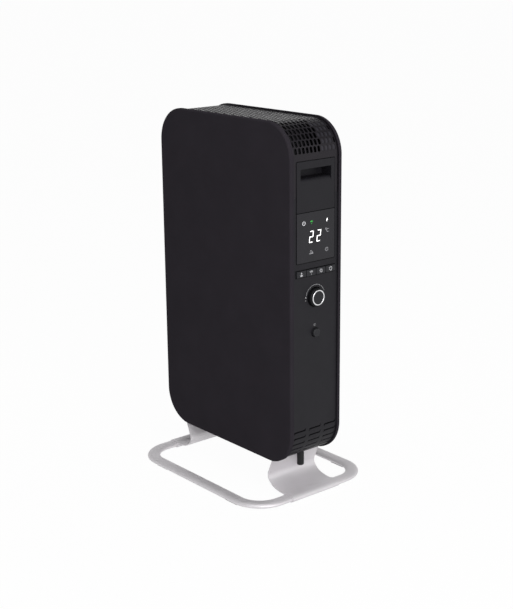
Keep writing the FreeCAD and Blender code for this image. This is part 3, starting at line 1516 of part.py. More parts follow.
def bracket_shape():
    """One bracket: wrapped round the tube, bent up to the heater and folded into a tab."""
    thickness = float(size.bracket_sheet)
    clearance = float(size.wrap_clearance)
    width = float(size.bracket_width)
    at = (float(tube_x), 0, float(tube_z))
    wrap = Part.Face(flat_oval(clearance + thickness, at)).cut(Part.Face(flat_oval(clearance, at)))
    bends = [float(size.foot_turn), float(size.instep_turn), float(size.neck_turn)]
    radii = [float(size.foot_radius), float(size.instep_radius), float(size.neck_radius)]
    lean = 180 - sum(bends)
    start_z = float(size.pad_sheet + size.instep_rise)
    risen = 0
    turned = 0
    for radius, bend in zip(radii, bends):
        before = math.cos(math.radians(turned))
        turned += bend
        risen += radius * (before - math.cos(math.radians(turned)))
    fold = float(size.fold_radius)
    fold_rise = fold * (math.cos(math.radians(lean)) + 1)
    tab_z = float(body_bottom + size.shell_inset) - thickness / 2
    shin = (tab_z - start_z - risen - fold_rise) / math.sin(math.radians(lean))
    steps = [("run", float(size.instep_run))]
    steps += [("bend", radius, -bend) for radius, bend in zip(radii, bends)]
    steps += [("run", shin), ("bend", fold, 180 - lean), ("run", float(size.tab_length))]
    start_x = float(tube_x - size.tube_width / 2 + size.bracket_sheet)
    strip_face = bent_strip((start_x, start_z), 180, steps, thickness)
    solid = wrap.extrude(Vector(0, width, 0)).fuse(strip_face.extrude(Vector(0, width, 0)))
    solid.translate(Vector(0, -width / 2, 0))
    solid = solid.removeSplitter()
    shoulder_z = float(body_bottom - size.tab_clearance)
    notch_width = (width - float(size.tab_width)) / 2
    for y in (-width / 2 - 1, width / 2 - notch_width):
        notch = Part.makeBox(FAR, notch_width + 1, FAR)
        notch.translate(Vector(-FAR / 2, y, shoulder_z))
        solid = solid.cut(notch)
    return solid


near_bracket = cut(
    "near_bracket",
    feature("bracket_blank", bracket_shape()),
    *screw_holes("bracket_hole", 1, body_bottom - 1, base_top, size.screw_radius + size.running_clearance),
)
far_bracket = mirrored("far_bracket", near_bracket)

screw_seat = body_bottom + size.shell_inset - size.bracket_sheet


def stand_screw(index, x, y):
    """A screw from below, through the tab, the base plate and the cap's tongue."""
    return headed_screw(f"stand_screw_{index}", size.screw_radius, size.screw_head_radius, size.screw_head,
                        "Z", screw_seat, screw_seat + size.screw_length, (x, y))


def stand_nut(index, x, y):
    """A square nut on the tongue."""
    foot = base_top + size.tongue_sheet
    block = box(f"stand_nut_block_{index}", around(x, size.nut_side / 2), around(y, size.nut_side / 2),
                (foot, foot + size.nut_height))
    hole = rod(f"stand_nut_hole_{index}", size.screw_radius + size.press_clearance, "Z", foot - 1,
               foot + size.nut_height + 1, (x, y))
    return cut(f"stand_nut_{index}", block, hole)


screw_places = corners(screw_place, size.screw_spread)
stand_screws = group("stand_screws", *[stand_screw(index, *place)
                                       for index, place in enumerate(screw_places)])
stand_nuts = group("stand_nuts", *[stand_nut(index, *place) for index, place in enumerate(screw_places)])

# ---------------------------------------------------------------- check and write
NODES = [
    # housing
    front_panel, rear_panel, front_hangers, rear_hangers, top_grille, control_end_cap, far_end_cap,
    base_plate, handle_plate, far_handle_plate,
    # display and controls
    display_window, display_carrier, display_board, led_module, wireless_module, *keys, control_board,
    key_switches, encoder_body, encoder_shaft, knob_body, knob_ring, knob_face, power_button, power_switch,
    # power electronics
    power_board, relay, transformer, tilt_switch, capacitor, terminal_block, room_sensor, board_screws,
    cable_gland, gland_nut,
    # oil core
    *sections, header_plugs, oil_fill_plug, element_gasket, heating_element, element_leads,
    thermal_cutout, near_partition, core_saddles,
    # stand
    stand_loop, foot_pads, near_bracket, far_bracket, stand_screws, stand_nuts,
]

doc.recompute()
for item in doc.Objects:
    faults = [word for word in item.State if word in ("Invalid", "Error")]
    if faults:
        raise RuntimeError(f"{item.Name} failed: {faults}")
os.makedirs("parts", exist_ok=True)
for node in NODES:
    node.Label = node.Name
    if node.Shape.isNull() or not node.Shape.isValid() or not node.Shape.Solids:
        raise RuntimeError(f"{node.Name} has no valid solid")
for node in NODES:
    node.Shape.exportStep(f"parts/{node.Label}.step")
print(f"{len(NODES)} nodes written")
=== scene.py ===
"""The looks of the slim oil-filled radiator heater, in metres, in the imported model's frame.

+X is the control end, -Y the front panel and +Z up. The floor is Z = 0.
"""
import math

import bmesh
import bpy
from mathutils import Matrix, Vector


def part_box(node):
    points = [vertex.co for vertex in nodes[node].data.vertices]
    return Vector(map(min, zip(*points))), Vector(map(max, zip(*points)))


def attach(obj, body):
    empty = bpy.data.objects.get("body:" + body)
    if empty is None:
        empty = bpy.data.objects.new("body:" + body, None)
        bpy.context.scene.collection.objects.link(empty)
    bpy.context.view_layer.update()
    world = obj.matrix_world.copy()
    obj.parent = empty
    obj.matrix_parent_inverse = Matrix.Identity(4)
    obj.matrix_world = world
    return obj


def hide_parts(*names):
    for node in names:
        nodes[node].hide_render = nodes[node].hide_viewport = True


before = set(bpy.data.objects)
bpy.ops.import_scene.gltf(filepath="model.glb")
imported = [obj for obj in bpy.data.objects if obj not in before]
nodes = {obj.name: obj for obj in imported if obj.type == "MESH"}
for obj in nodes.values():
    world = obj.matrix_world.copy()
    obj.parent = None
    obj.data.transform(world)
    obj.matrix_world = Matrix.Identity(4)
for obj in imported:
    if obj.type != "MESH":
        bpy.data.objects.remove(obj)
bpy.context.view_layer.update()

MM = 0.001
BODY_RADIUS = 0.057  # the round corners of the panels
SHELL_INSET = 0.0025  # how far the grille and the end caps lie inside the panels' rims
SOFT_EDGE = 0.0002  # the width over which one colour turns into the next
WHITE, BLACK = (1, 1, 1, 1), (0, 0, 0, 1)
CENTRE = (0, 0)
body_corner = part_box("front_panel")[1]
cap_face = body_corner.x - SHELL_INSET
scene = bpy.context.scene
scene.view_settings.view_transform = "Standard"


class Wiring:
    """A node tree under construction, for a material, the world or a repeated piece."""

    def __init__(self, tree):
        self.tree = tree

    def feed(self, socket, value):
        """Link a socket to another node's output, or set its value."""
        if isinstance(value, bpy.types.NodeSocket):
            self.tree.links.new(value, socket)
        else:
            socket.default_value = value

    def add(self, kind, inputs=(), settings=()):
        """A node with its settings, and its inputs, by label or number, either linked or set."""
        node = self.tree.nodes.new(kind)
        for name, value in dict(settings).items():
            setattr(node, name, value)
        for socket, value in dict(inputs).items():
            self.feed(node.inputs[socket], value)
        return node

    def reckon(self, operation, *values):
        """The result of one operation on sockets or numbers."""
        return self.add("ShaderNodeMath", enumerate(values), {"operation": operation}).outputs[0]


# ---------------------------------------------------------------- camera
SENSOR_WIDTH = 36  # a full frame, in millimetres


def add_camera(azimuth, elevation, roll, target, distance, lens):
    """A camera that looks at a target (across, up) from an azimuth and elevation, with a small roll."""
    across, rise = math.radians(azimuth), math.radians(elevation)
    right = Vector((math.cos(across), math.sin(across), 0))
    back = Vector((math.sin(across) * math.cos(rise), -math.cos(across) * math.cos(rise), math.sin(rise)))
    place = right * target[0] + Vector((0, 0, target[1])) + back * distance
    level = Matrix((right, back.cross(right), back)).transposed()
    turned = level @ Matrix.Rotation(math.radians(roll), 3, "Z")
    data = bpy.data.cameras.new("product_camera")
    data.lens = lens
    data.sensor_width = SENSOR_WIDTH
    data.clip_start, data.clip_end = 0.05, 200
    camera = bpy.data.objects.new("product_camera", data)
    camera.matrix_world = Matrix.Translation(place) @ turned.to_4x4()
    scene.collection.objects.link(camera)
    scene.camera = camera


add_camera(azimuth=50.36, elevation=15.68, roll=-0.58, target=(0.01209, 0.29384), distance=2.12698,
           lens=74.16)


# ---------------------------------------------------------------- studio
def show_white(wiring, shaded, share, kind, strength=1):
    """Mix a surface or world with plain white for camera, glossy and transmission rays."""
    rays = wiring.add("ShaderNodeLightPath").outputs
    lens_or_gloss = wiring.reckon("MAXIMUM", rays["Is Camera Ray"], rays["Is Glossy Ray"])
    seen = wiring.reckon("MAXIMUM", lens_or_gloss, rays["Is Transmission Ray"])
    white = wiring.add(kind, {"Color": WHITE, "Strength": strength})
    mix = wiring.add("ShaderNodeMixShader", {
        "Fac": wiring.reckon("MULTIPLY", seen, share), 1: shaded, 2: white.outputs[0]})
    return mix.outputs[0]


def add_world(strength, ceiling, fade_start, fade_end):
    """An even pale room, white near the horizon and darker towards its ceiling where gloss mirrors it.

    The fade's ends are heights of the direction, from 0 at the horizon to 1 straight up.
    """
    world = bpy.data.worlds.new("studio_world")
    world.use_nodes = True
    scene.world = world
    wiring = Wiring(world.node_tree)
    sky = wiring.tree.nodes["Background"]
    sky.inputs["Color"].default_value = WHITE
    sky.inputs["Strength"].default_value = strength
    direction = wiring.add("ShaderNodeTexCoord").outputs["Generated"]
    height = wiring.add("ShaderNodeSeparateXYZ", {0: direction}).outputs["Z"]
    fade = wiring.add("ShaderNodeMapRange", {
        "Value": height, "From Min": fade_start, "From Max": fade_end, "To Min": 1, "To Max": ceiling})
    seen = show_white(wiring, sky.outputs[0], 1, "ShaderNodeBackground", fade.outputs[0])
    wiring.feed(wiring.tree.nodes["World Output"].inputs["Surface"], seen)


def add_floor(half, colour, roughness, specular, whiteness):
    """A square pale floor that keeps the heater's shadow."""
    mesh = bpy.data.meshes.new("studio_floor")
    corners = [(-half, -half, 0), (half, -half, 0), (half, half, 0), (-half, half, 0)]
    mesh.from_pydata(corners, [], [(0, 1, 2, 3)])
    floor = bpy.data.objects.new("studio_floor", mesh)
    scene.collection.objects.link(floor)
    material = bpy.data.materials.new("pale_floor")
    material.use_nodes = True
    wiring = Wiring(material.node_tree)
    shader = wiring.tree.nodes["Principled BSDF"]
    shader.inputs["Base Color"].default_value = colour
    shader.inputs["Roughness"].default_value = roughness
    shader.inputs["Specular IOR Level"].default_value = specular
    seen = show_white(wiring, shader.outputs[0], whiteness, "ShaderNodeEmission")
    wiring.feed(wiring.tree.nodes["Material Output"].inputs["Surface"], seen)
    mesh.materials.append(material)


def add_softbox(name, place, target, size, power):
    """A square area light that faces a target."""
    data = bpy.data.lights.new(name, "AREA")
    data.shape = "SQUARE"
    data.size = size
    data.energy = power
    lamp = bpy.data.objects.new(name, data)
    lamp.location = place
    lamp.rotation_euler = (Vector(target) - Vector(place)).to_track_quat("-Z", "Y").to_euler()
    scene.collection.objects.link(lamp)


add_world(strength=0.3, ceiling=0.25, fade_start=0.35, fade_end=0.62)
add_floor(half=40, colour=(0.8, 0.8, 0.8, 1), roughness=0.9, specular=0.1, whiteness=0.97)
add_softbox("overhead_softbox", place=(0.4, -0.3, 2.2), target=(0, 0, 0.3), size=1.5, power=16)
add_softbox("side_softbox", place=(2.1, -0.8, 1.1), target=(0, 0, 0.35), size=1.4, power=40)


# ---------------------------------------------------------------- finishes
# Sizes and depths are in metres; a spread or a share is a part of one.
def shade(red, green, blue):
    """A colour as a screen shows it, 0 to 255, turned into Blender's linear colour."""
    values = [part / 255 for part in (red, green, blue)]
    return (*[v / 12.92 if v <= 0.04045 else ((v + 0.055) / 1.055) ** 2.4 for v in values], 1)


def tinted(colour, share):
    """A colour made darker or lighter by a share of itself."""
    return (*[part * share for part in colour[:3]], 1)


class Finish(Wiring):
    """A material under construction; its patterns read Object coordinates."""

    def __init__(self, name, metallic=0.0, specular=0.5, coat=0.0, coat_roughness=0.1):
        self.material = bpy.data.materials.new(name)
        self.material.use_nodes = True
        super().__init__(self.material.node_tree)
        self.shader = self.tree.nodes["Principled BSDF"]
        self.shader.inputs["Metallic"].default_value = metallic
        self.shader.inputs["Specular IOR Level"].default_value = specular
        self.shader.inputs["Coat Weight"].default_value = coat
        self.shader.inputs["Coat Roughness"].default_value = coat_roughness
        self.place = self.add("ShaderNodeTexCoord").outputs["Object"]

    def axis(self, label):
        """One of the object's coordinates."""
        return self.add("ShaderNodeSeparateXYZ", {"Vector": self.place}).outputs[label]

    def stretched(self, scale):
        """Object coordinates scaled by axis, for grain that runs one way."""
        return self.add("ShaderNodeMapping", {"Vector": self.place, "Scale": scale}).outputs[0]

    def noise(self, size, detail=2, stretch=None):
        """Cloudy noise from 0 to 1, with features of about the given size in metres."""
        place = self.stretched(stretch) if stretch else self.place
        return self.add("ShaderNodeTexNoise", {
            "Vector": place, "Scale": 1 / size, "Detail": detail}).outputs["Fac"]

    def cells(self, size, output):
        """Voronoi cells of about the given size in metres."""
        return self.add("ShaderNodeTexVoronoi", {
            "Vector": self.place, "Scale": 1 / size}).outputs[output]

    def blend(self, factor, first, second):
        """A colour between two, by a factor from 0 to 1."""
        return self.add("ShaderNodeMix", {0: factor, 6: first, 7: second}, {"data_type": "RGBA"}).outputs[2]

    def between(self, factor, low, high, start=0.3, end=0.7):
        """A number that runs from low to high as the factor goes from start to end."""
        return self.add("ShaderNodeMapRange", {
            "Value": factor, "From Min": start, "From Max": end, "To Min": low, "To Max": high}).outputs[0]

    def drift(self, colour, spread, size=0.035):
        """A colour that drifts a little lighter and darker over a surface."""
        cloud = self.between(self.noise(size, detail=3), 0, 1)
        return self.blend(cloud, tinted(colour, 1 - spread), tinted(colour, 1 + spread))

    def colour(self, value):
        """The base colour, fixed or from a pattern."""
        self.feed(self.shader.inputs["Base Color"], value)

    def roughness(self, pattern, low, high, start=0.3, end=0.7):
        """Roughness that runs from low to high over a pattern."""
        self.feed(self.shader.inputs["Roughness"], self.between(pattern, low, high, start, end))

    def relief(self, height, depth):
        """Add a bump, its depth in metres from the lowest to the highest point; gives the material."""
        bump = self.add("ShaderNodeBump", {"Height": height, "Distance": depth, "Strength": 1.0})
        self.feed(self.shader.inputs["Normal"], bump.outputs[0])
        return self.material

    def moulded(self, roughness):
        """The fine leathery grain and slow changes of gloss of a spark-eroded mould."""
        self.roughness(self.noise(0.02), roughness - 0.04, roughness + 0.04)
        return self.relief(self.cells(0.0009, "Distance"), depth=0.000015)


def powder_coat(name, colour, specular=0.03, roughness=0.8):
    """Fine textured powder coat on steel: a sandy grain over a slow drift of colour."""
    finish = Finish(name, specular=specular)
    finish.colour(finish.drift(colour, spread=0.06, size=0.06))
    grain = finish.noise(0.0011)
    finish.roughness(grain, roughness - 0.05, roughness + 0.05)
    return finish.relief(grain, depth=0.00002)


MOULDED_SPREAD = 0.05  # how much the colour of a moulded plastic drifts


def moulded_plastic(name, colour, specular=0.18, roughness=0.5):
    """Spark-eroded moulded plastic."""
    finish = Finish(name, specular=specular)
    finish.colour(finish.drift(colour, MOULDED_SPREAD))
    return finish.moulded(roughness)


# Depths under the grille's face where a painted colour starts and where it is full: a painted highlight on
# the floors of the closed holes, and painted shade on the walls of the open holes.
GRILLE_HIGHLIGHT_DEPTHS = (0.0005, 0.00066)
GRILLE_SHADE_DEPTHS = (0.00078, 0.0009)


def pierced_plastic_with_painted_light(name, colour, painted_floor_highlight, painted_wall_shade):
    """The grille's moulded plastic, with light and shade painted by depth: a painted highlight on the floors
    of its closed holes, and painted shade on the walls of the others.
    """
    finish = Finish(name, specular=0.25)
    finish.shader.inputs["Specular Tint"].default_value = (1, 0.94, 1, 1)

    def past(value, edge):
        """How far a coordinate lies past the axis of the body's round corner."""
        return finish.reckon("MAXIMUM", finish.reckon("SUBTRACT", value, edge - BODY_RADIUS), 0)

    def deeper(starts, full):
        """From 0 to 1 between two depths under the grille's face."""
        face = BODY_RADIUS - SHELL_INSET
        return finish.between(reach, 1, 0, face - full, face - starts)

    outward = finish.add("ShaderNodeCombineXYZ", {
        "X": past(finish.reckon("ABSOLUTE", finish.axis("X")), body_corner.x),
        "Y": past(finish.axis("Z"), body_corner.z)}).outputs[0]
    reach = finish.add("ShaderNodeVectorMath", {"Vector": outward}, {"operation": "LENGTH"}).outputs["Value"]
    # the closed holes' floors are painted lighter than the skin: a painted highlight
    skin_and_painted_highlight = finish.blend(deeper(*GRILLE_HIGHLIGHT_DEPTHS), finish.drift(colour, MOULDED_SPREAD), painted_floor_highlight)
    # the open holes' walls are painted near black: painted shade
    finish.colour(finish.blend(deeper(*GRILLE_SHADE_DEPTHS), skin_and_painted_highlight, painted_wall_shade))
    return finish.moulded(roughness=0.31)


KEY_GAP_SHADE_DEPTH = 0.0014  # how far under the end cap's face the keys' sides turn black: painted shade for the gaps round them


def key_plastic_with_painted_shade(name, colour, painted_gap_shade):
    """The keys' and button's moulded plastic, painted black below the end cap's face: painted shade for the
    gaps round them.
    """
    finish = Finish(name, specular=0.18)
    painted_shade_start = cap_face - KEY_GAP_SHADE_DEPTH
    above = finish.between(finish.axis("X"), 0, 1, painted_shade_start, painted_shade_start + SOFT_EDGE)
    # below that depth the colour is black: painted shade for the gaps round the keys
    finish.colour(finish.blend(above, painted_gap_shade, finish.drift(colour, MOULDED_SPREAD)))
    return finish.moulded(roughness=0.4)


def smoked_window(name, colour):
    """Smoked glossy plastic over the display, with faint flow marks from its moulding."""
    finish = Finish(name, specular=0.26, coat=0.08, coat_roughness=0.03)
    flow = finish.between(finish.noise(0.03, stretch=(1, 1, 0.5)), 0, 1)
    finish.colour(finish.blend(flow, tinted(colour, 0.85), colour))
    finish.roughness(finish.noise(0.012), low=0.09, high=0.14)
    return finish.relief(finish.noise(0.04, detail=1), depth=0.00002)


def satin_metal(name, colour, metallic=0.52, roughness=0.55):
    """Satin silver lacquer over metal: very fine flakes and a soft drift of gloss."""
    finish = Finish(name, metallic=metallic)
    finish.colour(finish.drift(colour, spread=0.03, size=0.05))
    finish.roughness(finish.noise(0.03), roughness - 0.04, roughness + 0.04)
    return finish.relief(finish.noise(0.0007, detail=1), depth=0.000004)


def brushed_metal(name, colour, along, roughness=0.3):
    """Metal with hairlines along one axis."""
    finish = Finish(name, metallic=1.0)
    stretch = [0.04 if axis == along else 1.0 for axis in "XYZ"]
    hairlines = finish.noise(0.0006, stretch=stretch)
    finish.colour(finish.blend(finish.between(hairlines, 0, 1), tinted(colour, 0.86), colour))
    finish.roughness(hairlines, roughness - 0.08, roughness + 0.08)
    return finish.relief(hairlines, depth=0.000004)


def galvanised_sheet(name, colour):
    """Zinc-coated steel sheet with its spangle of crystals."""
    finish = Finish(name, metallic=0.9)
    spangle = finish.add("ShaderNodeSeparateColor", {"Color": finish.cells(0.009, "Color")}).outputs[0]
    finish.colour(finish.blend(spangle, tinted(colour, 0.78), colour))
    finish.roughness(spangle, low=0.3, high=0.48, start=0, end=1)
    return finish.relief(finish.noise(0.004), depth=0.00001)


def circuit_board(name, mask, copper):
    """Green solder mask over copper tracks and small vias."""
    finish = Finish(name, coat=0.2, coat_roughness=0.2)
    flat = finish.stretched((0.05, 1, 1))
    upright = finish.add("ShaderNodeMapping", {"Vector": flat, "Rotation": (0, math.radians(90), 0)})
    tracks = finish.add("ShaderNodeTexBrick", {
        "Vector": upright.outputs[0], "Scale": 90, "Mortar Size": 0.06},
        {"offset": 0.35, "squash": 0.6}).outputs["Fac"]
    dots = finish.add("ShaderNodeTexVoronoi", {"Vector": flat, "Scale": 240}).outputs["Distance"]
    vias = finish.between(dots, low=1, high=0, start=0.12, end=0.16)
    covered = finish.blend(tracks, mask, tinted(mask, 1.5))
    finish.colour(finish.blend(vias, covered, copper))
    finish.roughness(tracks, low=0.32, high=0.42, start=0, end=1)
    return finish.relief(tracks, depth=0.00003)


def lacquered(name, colour, roughness=0.5):
    """Dip-painted steel with an orange-peel ripple."""
    finish = Finish(name, specular=0.4)
    finish.colour(finish.drift(colour, spread=0.1, size=0.04))
    finish.roughness(finish.noise(0.02, detail=3), roughness - 0.08, roughness + 0.08)
    return finish.relief(finish.noise(0.0025), depth=0.00003)


def rubbery(name, colour, roughness=0.75):
    """Matt rubber or silicone with a dusty bloom."""
    finish = Finish(name, specular=0.3)
    finish.colour(finish.drift(colour, spread=0.12, size=0.006))
    finish.roughness(finish.noise(0.004), roughness - 0.06, roughness + 0.06)
    return finish.relief(finish.noise(0.0008), depth=0.00003)


def pressed_fibre(name, colour):
    """Compressed gasket fibre, flecked with short strands."""
    finish = Finish(name, specular=0.2)
    strands = finish.noise(0.0016, detail=4, stretch=(1, 0.25, 1))
    finish.colour(finish.blend(finish.between(strands, 0, 1), tinted(colour, 0.6), colour))
    finish.roughness(strands, low=0.8, high=0.95)
    return finish.relief(strands, depth=0.00005)


TAPED_HALF = 0.32  # how far the tape reaches from the middle, as a share of the transformer's height


def taped_winding(name, core, tape):
    """A transformer: a dark ferrite core above and below a taped winding."""
    finish = Finish(name, specular=0.4)
    low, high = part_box(name)
    middle, half = (low.z + high.z) / 2, (high.z - low.z) * TAPED_HALF
    away = finish.reckon("ABSOLUTE", finish.reckon("SUBTRACT", finish.axis("Z"), middle))
    finish.colour(finish.blend(finish.between(away, 0, 1, half, half + SOFT_EDGE), tape, core))
    finish.roughness(finish.noise(0.004), low=0.35, high=0.55)
    return finish.relief(finish.noise(0.0012, stretch=(1, 1, 0.2)), depth=0.00004)


def glowing(name, colour, strength):
    """Light that shines through the window, a little uneven over its diffuser."""
    finish = Finish(name, specular=0.2)
    lit = finish.blend(finish.between(finish.noise(0.004), 0.94, 1), BLACK, colour)
    finish.colour(lit)
    finish.roughness(finish.noise(0.002), low=0.4, high=0.5)
    finish.feed(finish.shader.inputs["Emission Color"], lit)
    finish.shader.inputs["Emission Strength"].default_value = strength
    return finish.material


def printed_ink(name, colour):
    """Pad-printed ink with slightly uneven cover."""
    finish = Finish(name, specular=0.3)
    finish.colour(finish.drift(colour, spread=0.06, size=0.003))
    finish.roughness(finish.noise(0.001), low=0.5, high=0.6)
    return finish.relief(finish.noise(0.0006), depth=0.000005)


FINISHES = {
    powder_coat("panel_powder_coat", shade(43, 40, 45)): ["front_panel", "rear_panel"],
    # the grille's second colour is a painted highlight on the closed holes' floors, its third is painted
    # shade on the open holes' walls
    pierced_plastic_with_painted_light("grille_grain", shade(21, 19, 23), shade(38, 37, 42), shade(6, 6, 7)): ["top_grille"],
    moulded_plastic("shell_grain", shade(25, 24, 28)): ["control_end_cap", "far_end_cap"],
    moulded_plastic("handle_grain", shade(24, 23, 27), roughness=0.42): ["handle_plate", "far_handle_plate"],
    # the second colour is painted shade in the gaps round the keys and the button
    key_plastic_with_painted_shade("key_grain", shade(36, 36, 39), shade(7, 7, 8)): [
        "lock_key", "wifi_key", "mode_key", "timer_key", "power_button"],
    moulded_plastic("knob_grain", shade(18, 18, 20), specular=0.1, roughness=0.45): ["knob_body"],
    moulded_plastic("knob_face_grain", shade(30, 30, 33), roughness=0.4): ["knob_face"],
    smoked_window("window_smoke", shade(26, 25, 30)): ["display_window"],
    moulded_plastic("inner_black", shade(34, 34, 35), roughness=0.6): [
        "display_carrier", "power_switch", "tilt_switch", "room_sensor"],
    moulded_plastic("gland_black", shade(30, 30, 31), roughness=0.5): ["cable_gland", "gland_nut"],
    moulded_plastic("block_cream", shade(205, 200, 186), roughness=0.55): ["terminal_block"],
    moulded_plastic("relay_blue", shade(36, 60, 110), roughness=0.35): ["relay"],
    moulded_plastic("switch_black", shade(38, 38, 40), roughness=0.45): ["key_switches"],
    brushed_metal("ring_chrome", shade(236, 236, 238), "X", roughness=0.16): ["knob_ring"],
    circuit_board("board_green", shade(20, 84, 50), shade(196, 160, 92)): [
        "display_board", "control_board", "power_board"],
    brushed_metal("shield_can", shade(196, 198, 200), "Y"): ["wireless_module", "encoder_body"],
    taped_winding("transformer", shade(50, 50, 52), shade(214, 178, 52)): ["transformer"],
    moulded_plastic("lamp_white", shade(222, 222, 220), roughness=0.5): ["led_module"],
    brushed_metal("capacitor_sleeve", shade(120, 124, 150), "X", roughness=0.4): ["capacitor"],
    satin_metal("stand_silver", shade(215, 212, 215)): ["stand_loop", "near_bracket", "far_bracket"],
    rubbery("pad_grey", shade(172, 172, 172)): ["foot_pads"],
    brushed_metal("steel_bright", shade(196, 196, 198), "Z"): [
        "stand_screws", "stand_nuts", "board_screws", "encoder_shaft"],
    brushed_metal("steel_heater", shade(178, 172, 166), "X", roughness=0.36): [
        "heating_element", "thermal_cutout", "header_plugs", "oil_fill_plug"],
    galvanised_sheet("zinc_sheet", shade(188, 190, 192)): [
        "front_panel_hangers", "rear_panel_hangers", "core_saddles"],
    powder_coat("base_powder_coat", shade(42, 42, 44)): ["base_plate", "near_partition"],
    lacquered("section_black", shade(42, 42, 44)): [f"oil_section_{index}" for index in range(1, 8)],
    pressed_fibre("gasket_red", shade(140, 88, 70)): ["element_gasket"],
    rubbery("lead_red", shade(150, 52, 44), roughness=0.6): ["element_leads"],
}
for material, names in FINISHES.items():
    for name in names:
        for slot in nodes[name].material_slots:
            slot.material = material


# ---------------------------------------------------------------- flat artwork on the control end
# Its shapes are in millimetres, (across, up) as seen from the front of the face.
RAISED = 0.00006  # how far the artwork stands out of its face
SUNK = 0.00002  # how far it reaches into it
DEGREES_PER_STEP = 9


def stroke(points, width):
    """A line of the given width through points, as four-cornered pieces with square joints."""
    shapes = []
    for start, end in zip(points, points[1:]):
        a, b = Vector(start), Vector(end)
        along = (b - a).normalized() * width / 2
        side = Vector((-along.y, along.x))
        a, b = a - along, b + along
        shapes.append([a - side, b - side, b + side, a + side])
    return shapes


def around(centre, radius, turn):
    """The point on a circle at a turn in radians."""
    return Vector(centre) + Vector((math.cos(turn), math.sin(turn))) * radius


def arc(centre, radius, width, start, end, steps=None):
    """A band along a circle, from one angle to another in degrees, as four-cornered pieces."""
    steps = steps or max(4, int(abs(end - start) / DEGREES_PER_STEP))
    turns = [math.radians(start + (end - start) * step / steps) for step in range(steps + 1)]
    inner, outer = [[around(centre, rim, turn) for turn in turns]
                    for rim in (radius - width / 2, radius + width / 2)]
    return [[inner[i], outer[i], outer[i + 1], inner[i + 1]] for i in range(steps)]


def ring(centre, radius, width):
    """A whole circle as a band."""
    return arc(centre, radius, width, 0, 360)


def disc(centre, radius, sides=20):
    """A filled circle, as one many-cornered piece."""
    return [[around(centre, radius, math.tau * side / sides) for side in range(sides)]]


def artwork(name, face, middle, shapes, material, body):
    """Flat shapes round a middle (Y, Z) in millimetres, as a thin layer on a face that looks along +X."""
    mesh = bpy.data.meshes.new(name)
    form = bmesh.new()
    for corners in shapes:
        area = sum(a.x * b.y - b.x * a.y for a, b in zip(corners, corners[1:] + corners[:1]))
        if area < 0:
            corners = corners[::-1]
        places = [(middle[0] * MM + c.x * MM, middle[1] * MM + c.y * MM) for c in corners]
        front, back = [[form.verts.new((x, *place)) for place in places]
                       for x in (face + RAISED, face - SUNK)]
        form.faces.new(front)
        form.faces.new(back[::-1])
        for i in range(len(corners)):
            j = (i + 1) % len(corners)
            form.faces.new((back[i], back[j], front[j], front[i]))
    form.to_mesh(mesh)
    form.free()
    mesh.materials.append(material)
    piece = bpy.data.objects.new(name, mesh)
    scene.collection.objects.link(piece)
    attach(piece, body)


def outlines(size, *shapes):
    """Shapes drawn in parts of a sign's size."""
    return [[Vector(corner) * size for corner in shape] for shape in shapes]


def power_shapes(radius, width):
    """A broken ring with a bar through its gap."""
    bar = [(0, radius * 0.15), (0, radius * 1.2)]
    return arc(CENTRE, radius, width, start=125, end=415) + stroke(bar, width)


def wireless_shapes(size, width):
    """A foot with two arcs over it."""
    foot = (0, -size * 0.45)
    near_arc, far_arc = [arc(foot, size * share, width, start=52, end=128) for share in (0.66, 0.94)]
    return disc(foot, width * 0.7) + near_arc + far_arc


def clock_shapes(radius, width):
    """A ring with two hands."""
    hands = [(0, radius * 0.55), CENTRE, (radius * 0.4, 0)]
    return ring(CENTRE, radius, width) + stroke(hands, width * 0.8)


def dial_shapes(radius, width):
    """A ring round a small dot."""
    return ring(CENTRE, radius, width) + disc(CENTRE, width * 0.7)


def gear_shapes(radius, width, teeth=8):
    """A ring with short teeth."""
    shapes = ring(CENTRE, radius * 0.75, width)
    for tooth in range(teeth):
        turn = math.tau * tooth / teeth
        shapes += stroke([around(CENTRE, radius * share, turn) for share in (0.95, 1.15)], width)
    return shapes


def bolt_shapes(size):
    """A lightning bolt as two overlapping wedges."""
    upper = [(0.1, 0.5), (-0.24, -0.1), (0.1, -0.02), (0.26, 0.5)]
    lower = [(-0.08, 0.06), (0.26, 0.12), (-0.12, -0.5), (-0.04, -0.06)]
    return outlines(size, upper, lower)


def person_shapes(size):
    """A small head and shoulders."""
    shoulders = [(-0.42, -0.5), (0.42, -0.5), (0.3, -0.1), (0, 0.02), (-0.3, -0.1)]
    return disc((0, size * 0.27), size * 0.21) + outlines(size, shoulders)


def warmth_shapes(size, width):
    """Two rising lines and a dot over a bed."""
    bed, *warmth = outlines(
        size, [(-0.5, -0.42), (0.5, -0.42)], *[[(x, -0.2), (x + 0.1, 0.05), (x, 0.3)] for x in (-0.22, 0.12)])
    shapes = stroke(bed, width * 1.4)
    for line in warmth:
        shapes += stroke(line, width)
    return shapes + disc((0.34 * size, -0.18 * size), size * 0.14)


def degree_shapes(size, width):
    """The sign for degrees Celsius."""
    degree = ring((-0.32 * size, 0.3 * size), size * 0.13, width * 0.8)
    return degree + arc((0.2 * size, -0.04 * size), size * 0.3, width, start=50, end=310)


def middle_of(node):
    """The middle (Y, Z) of a node, in millimetres."""
    low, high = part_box(node)
    return (low.y + high.y) / 2 / MM, (low.z + high.z) / 2 / MM


window_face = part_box("display_window")[1].x
lit_white = glowing("lit_white", shade(255, 255, 255), strength=1.0)
lit_grey = glowing("lit_grey", shade(188, 188, 191), strength=0.7)
lit_dim = glowing("lit_dim", shade(128, 128, 131), strength=0.5)
lit_green = glowing("lit_green", shade(58, 172, 70), strength=0.62)
ink_white = printed_ink("ink_white", shade(215, 215, 218))
ink_grey = printed_ink("ink_grey", shade(172, 172, 175))
ink_dim = printed_ink("ink_dim", shade(130, 130, 132))

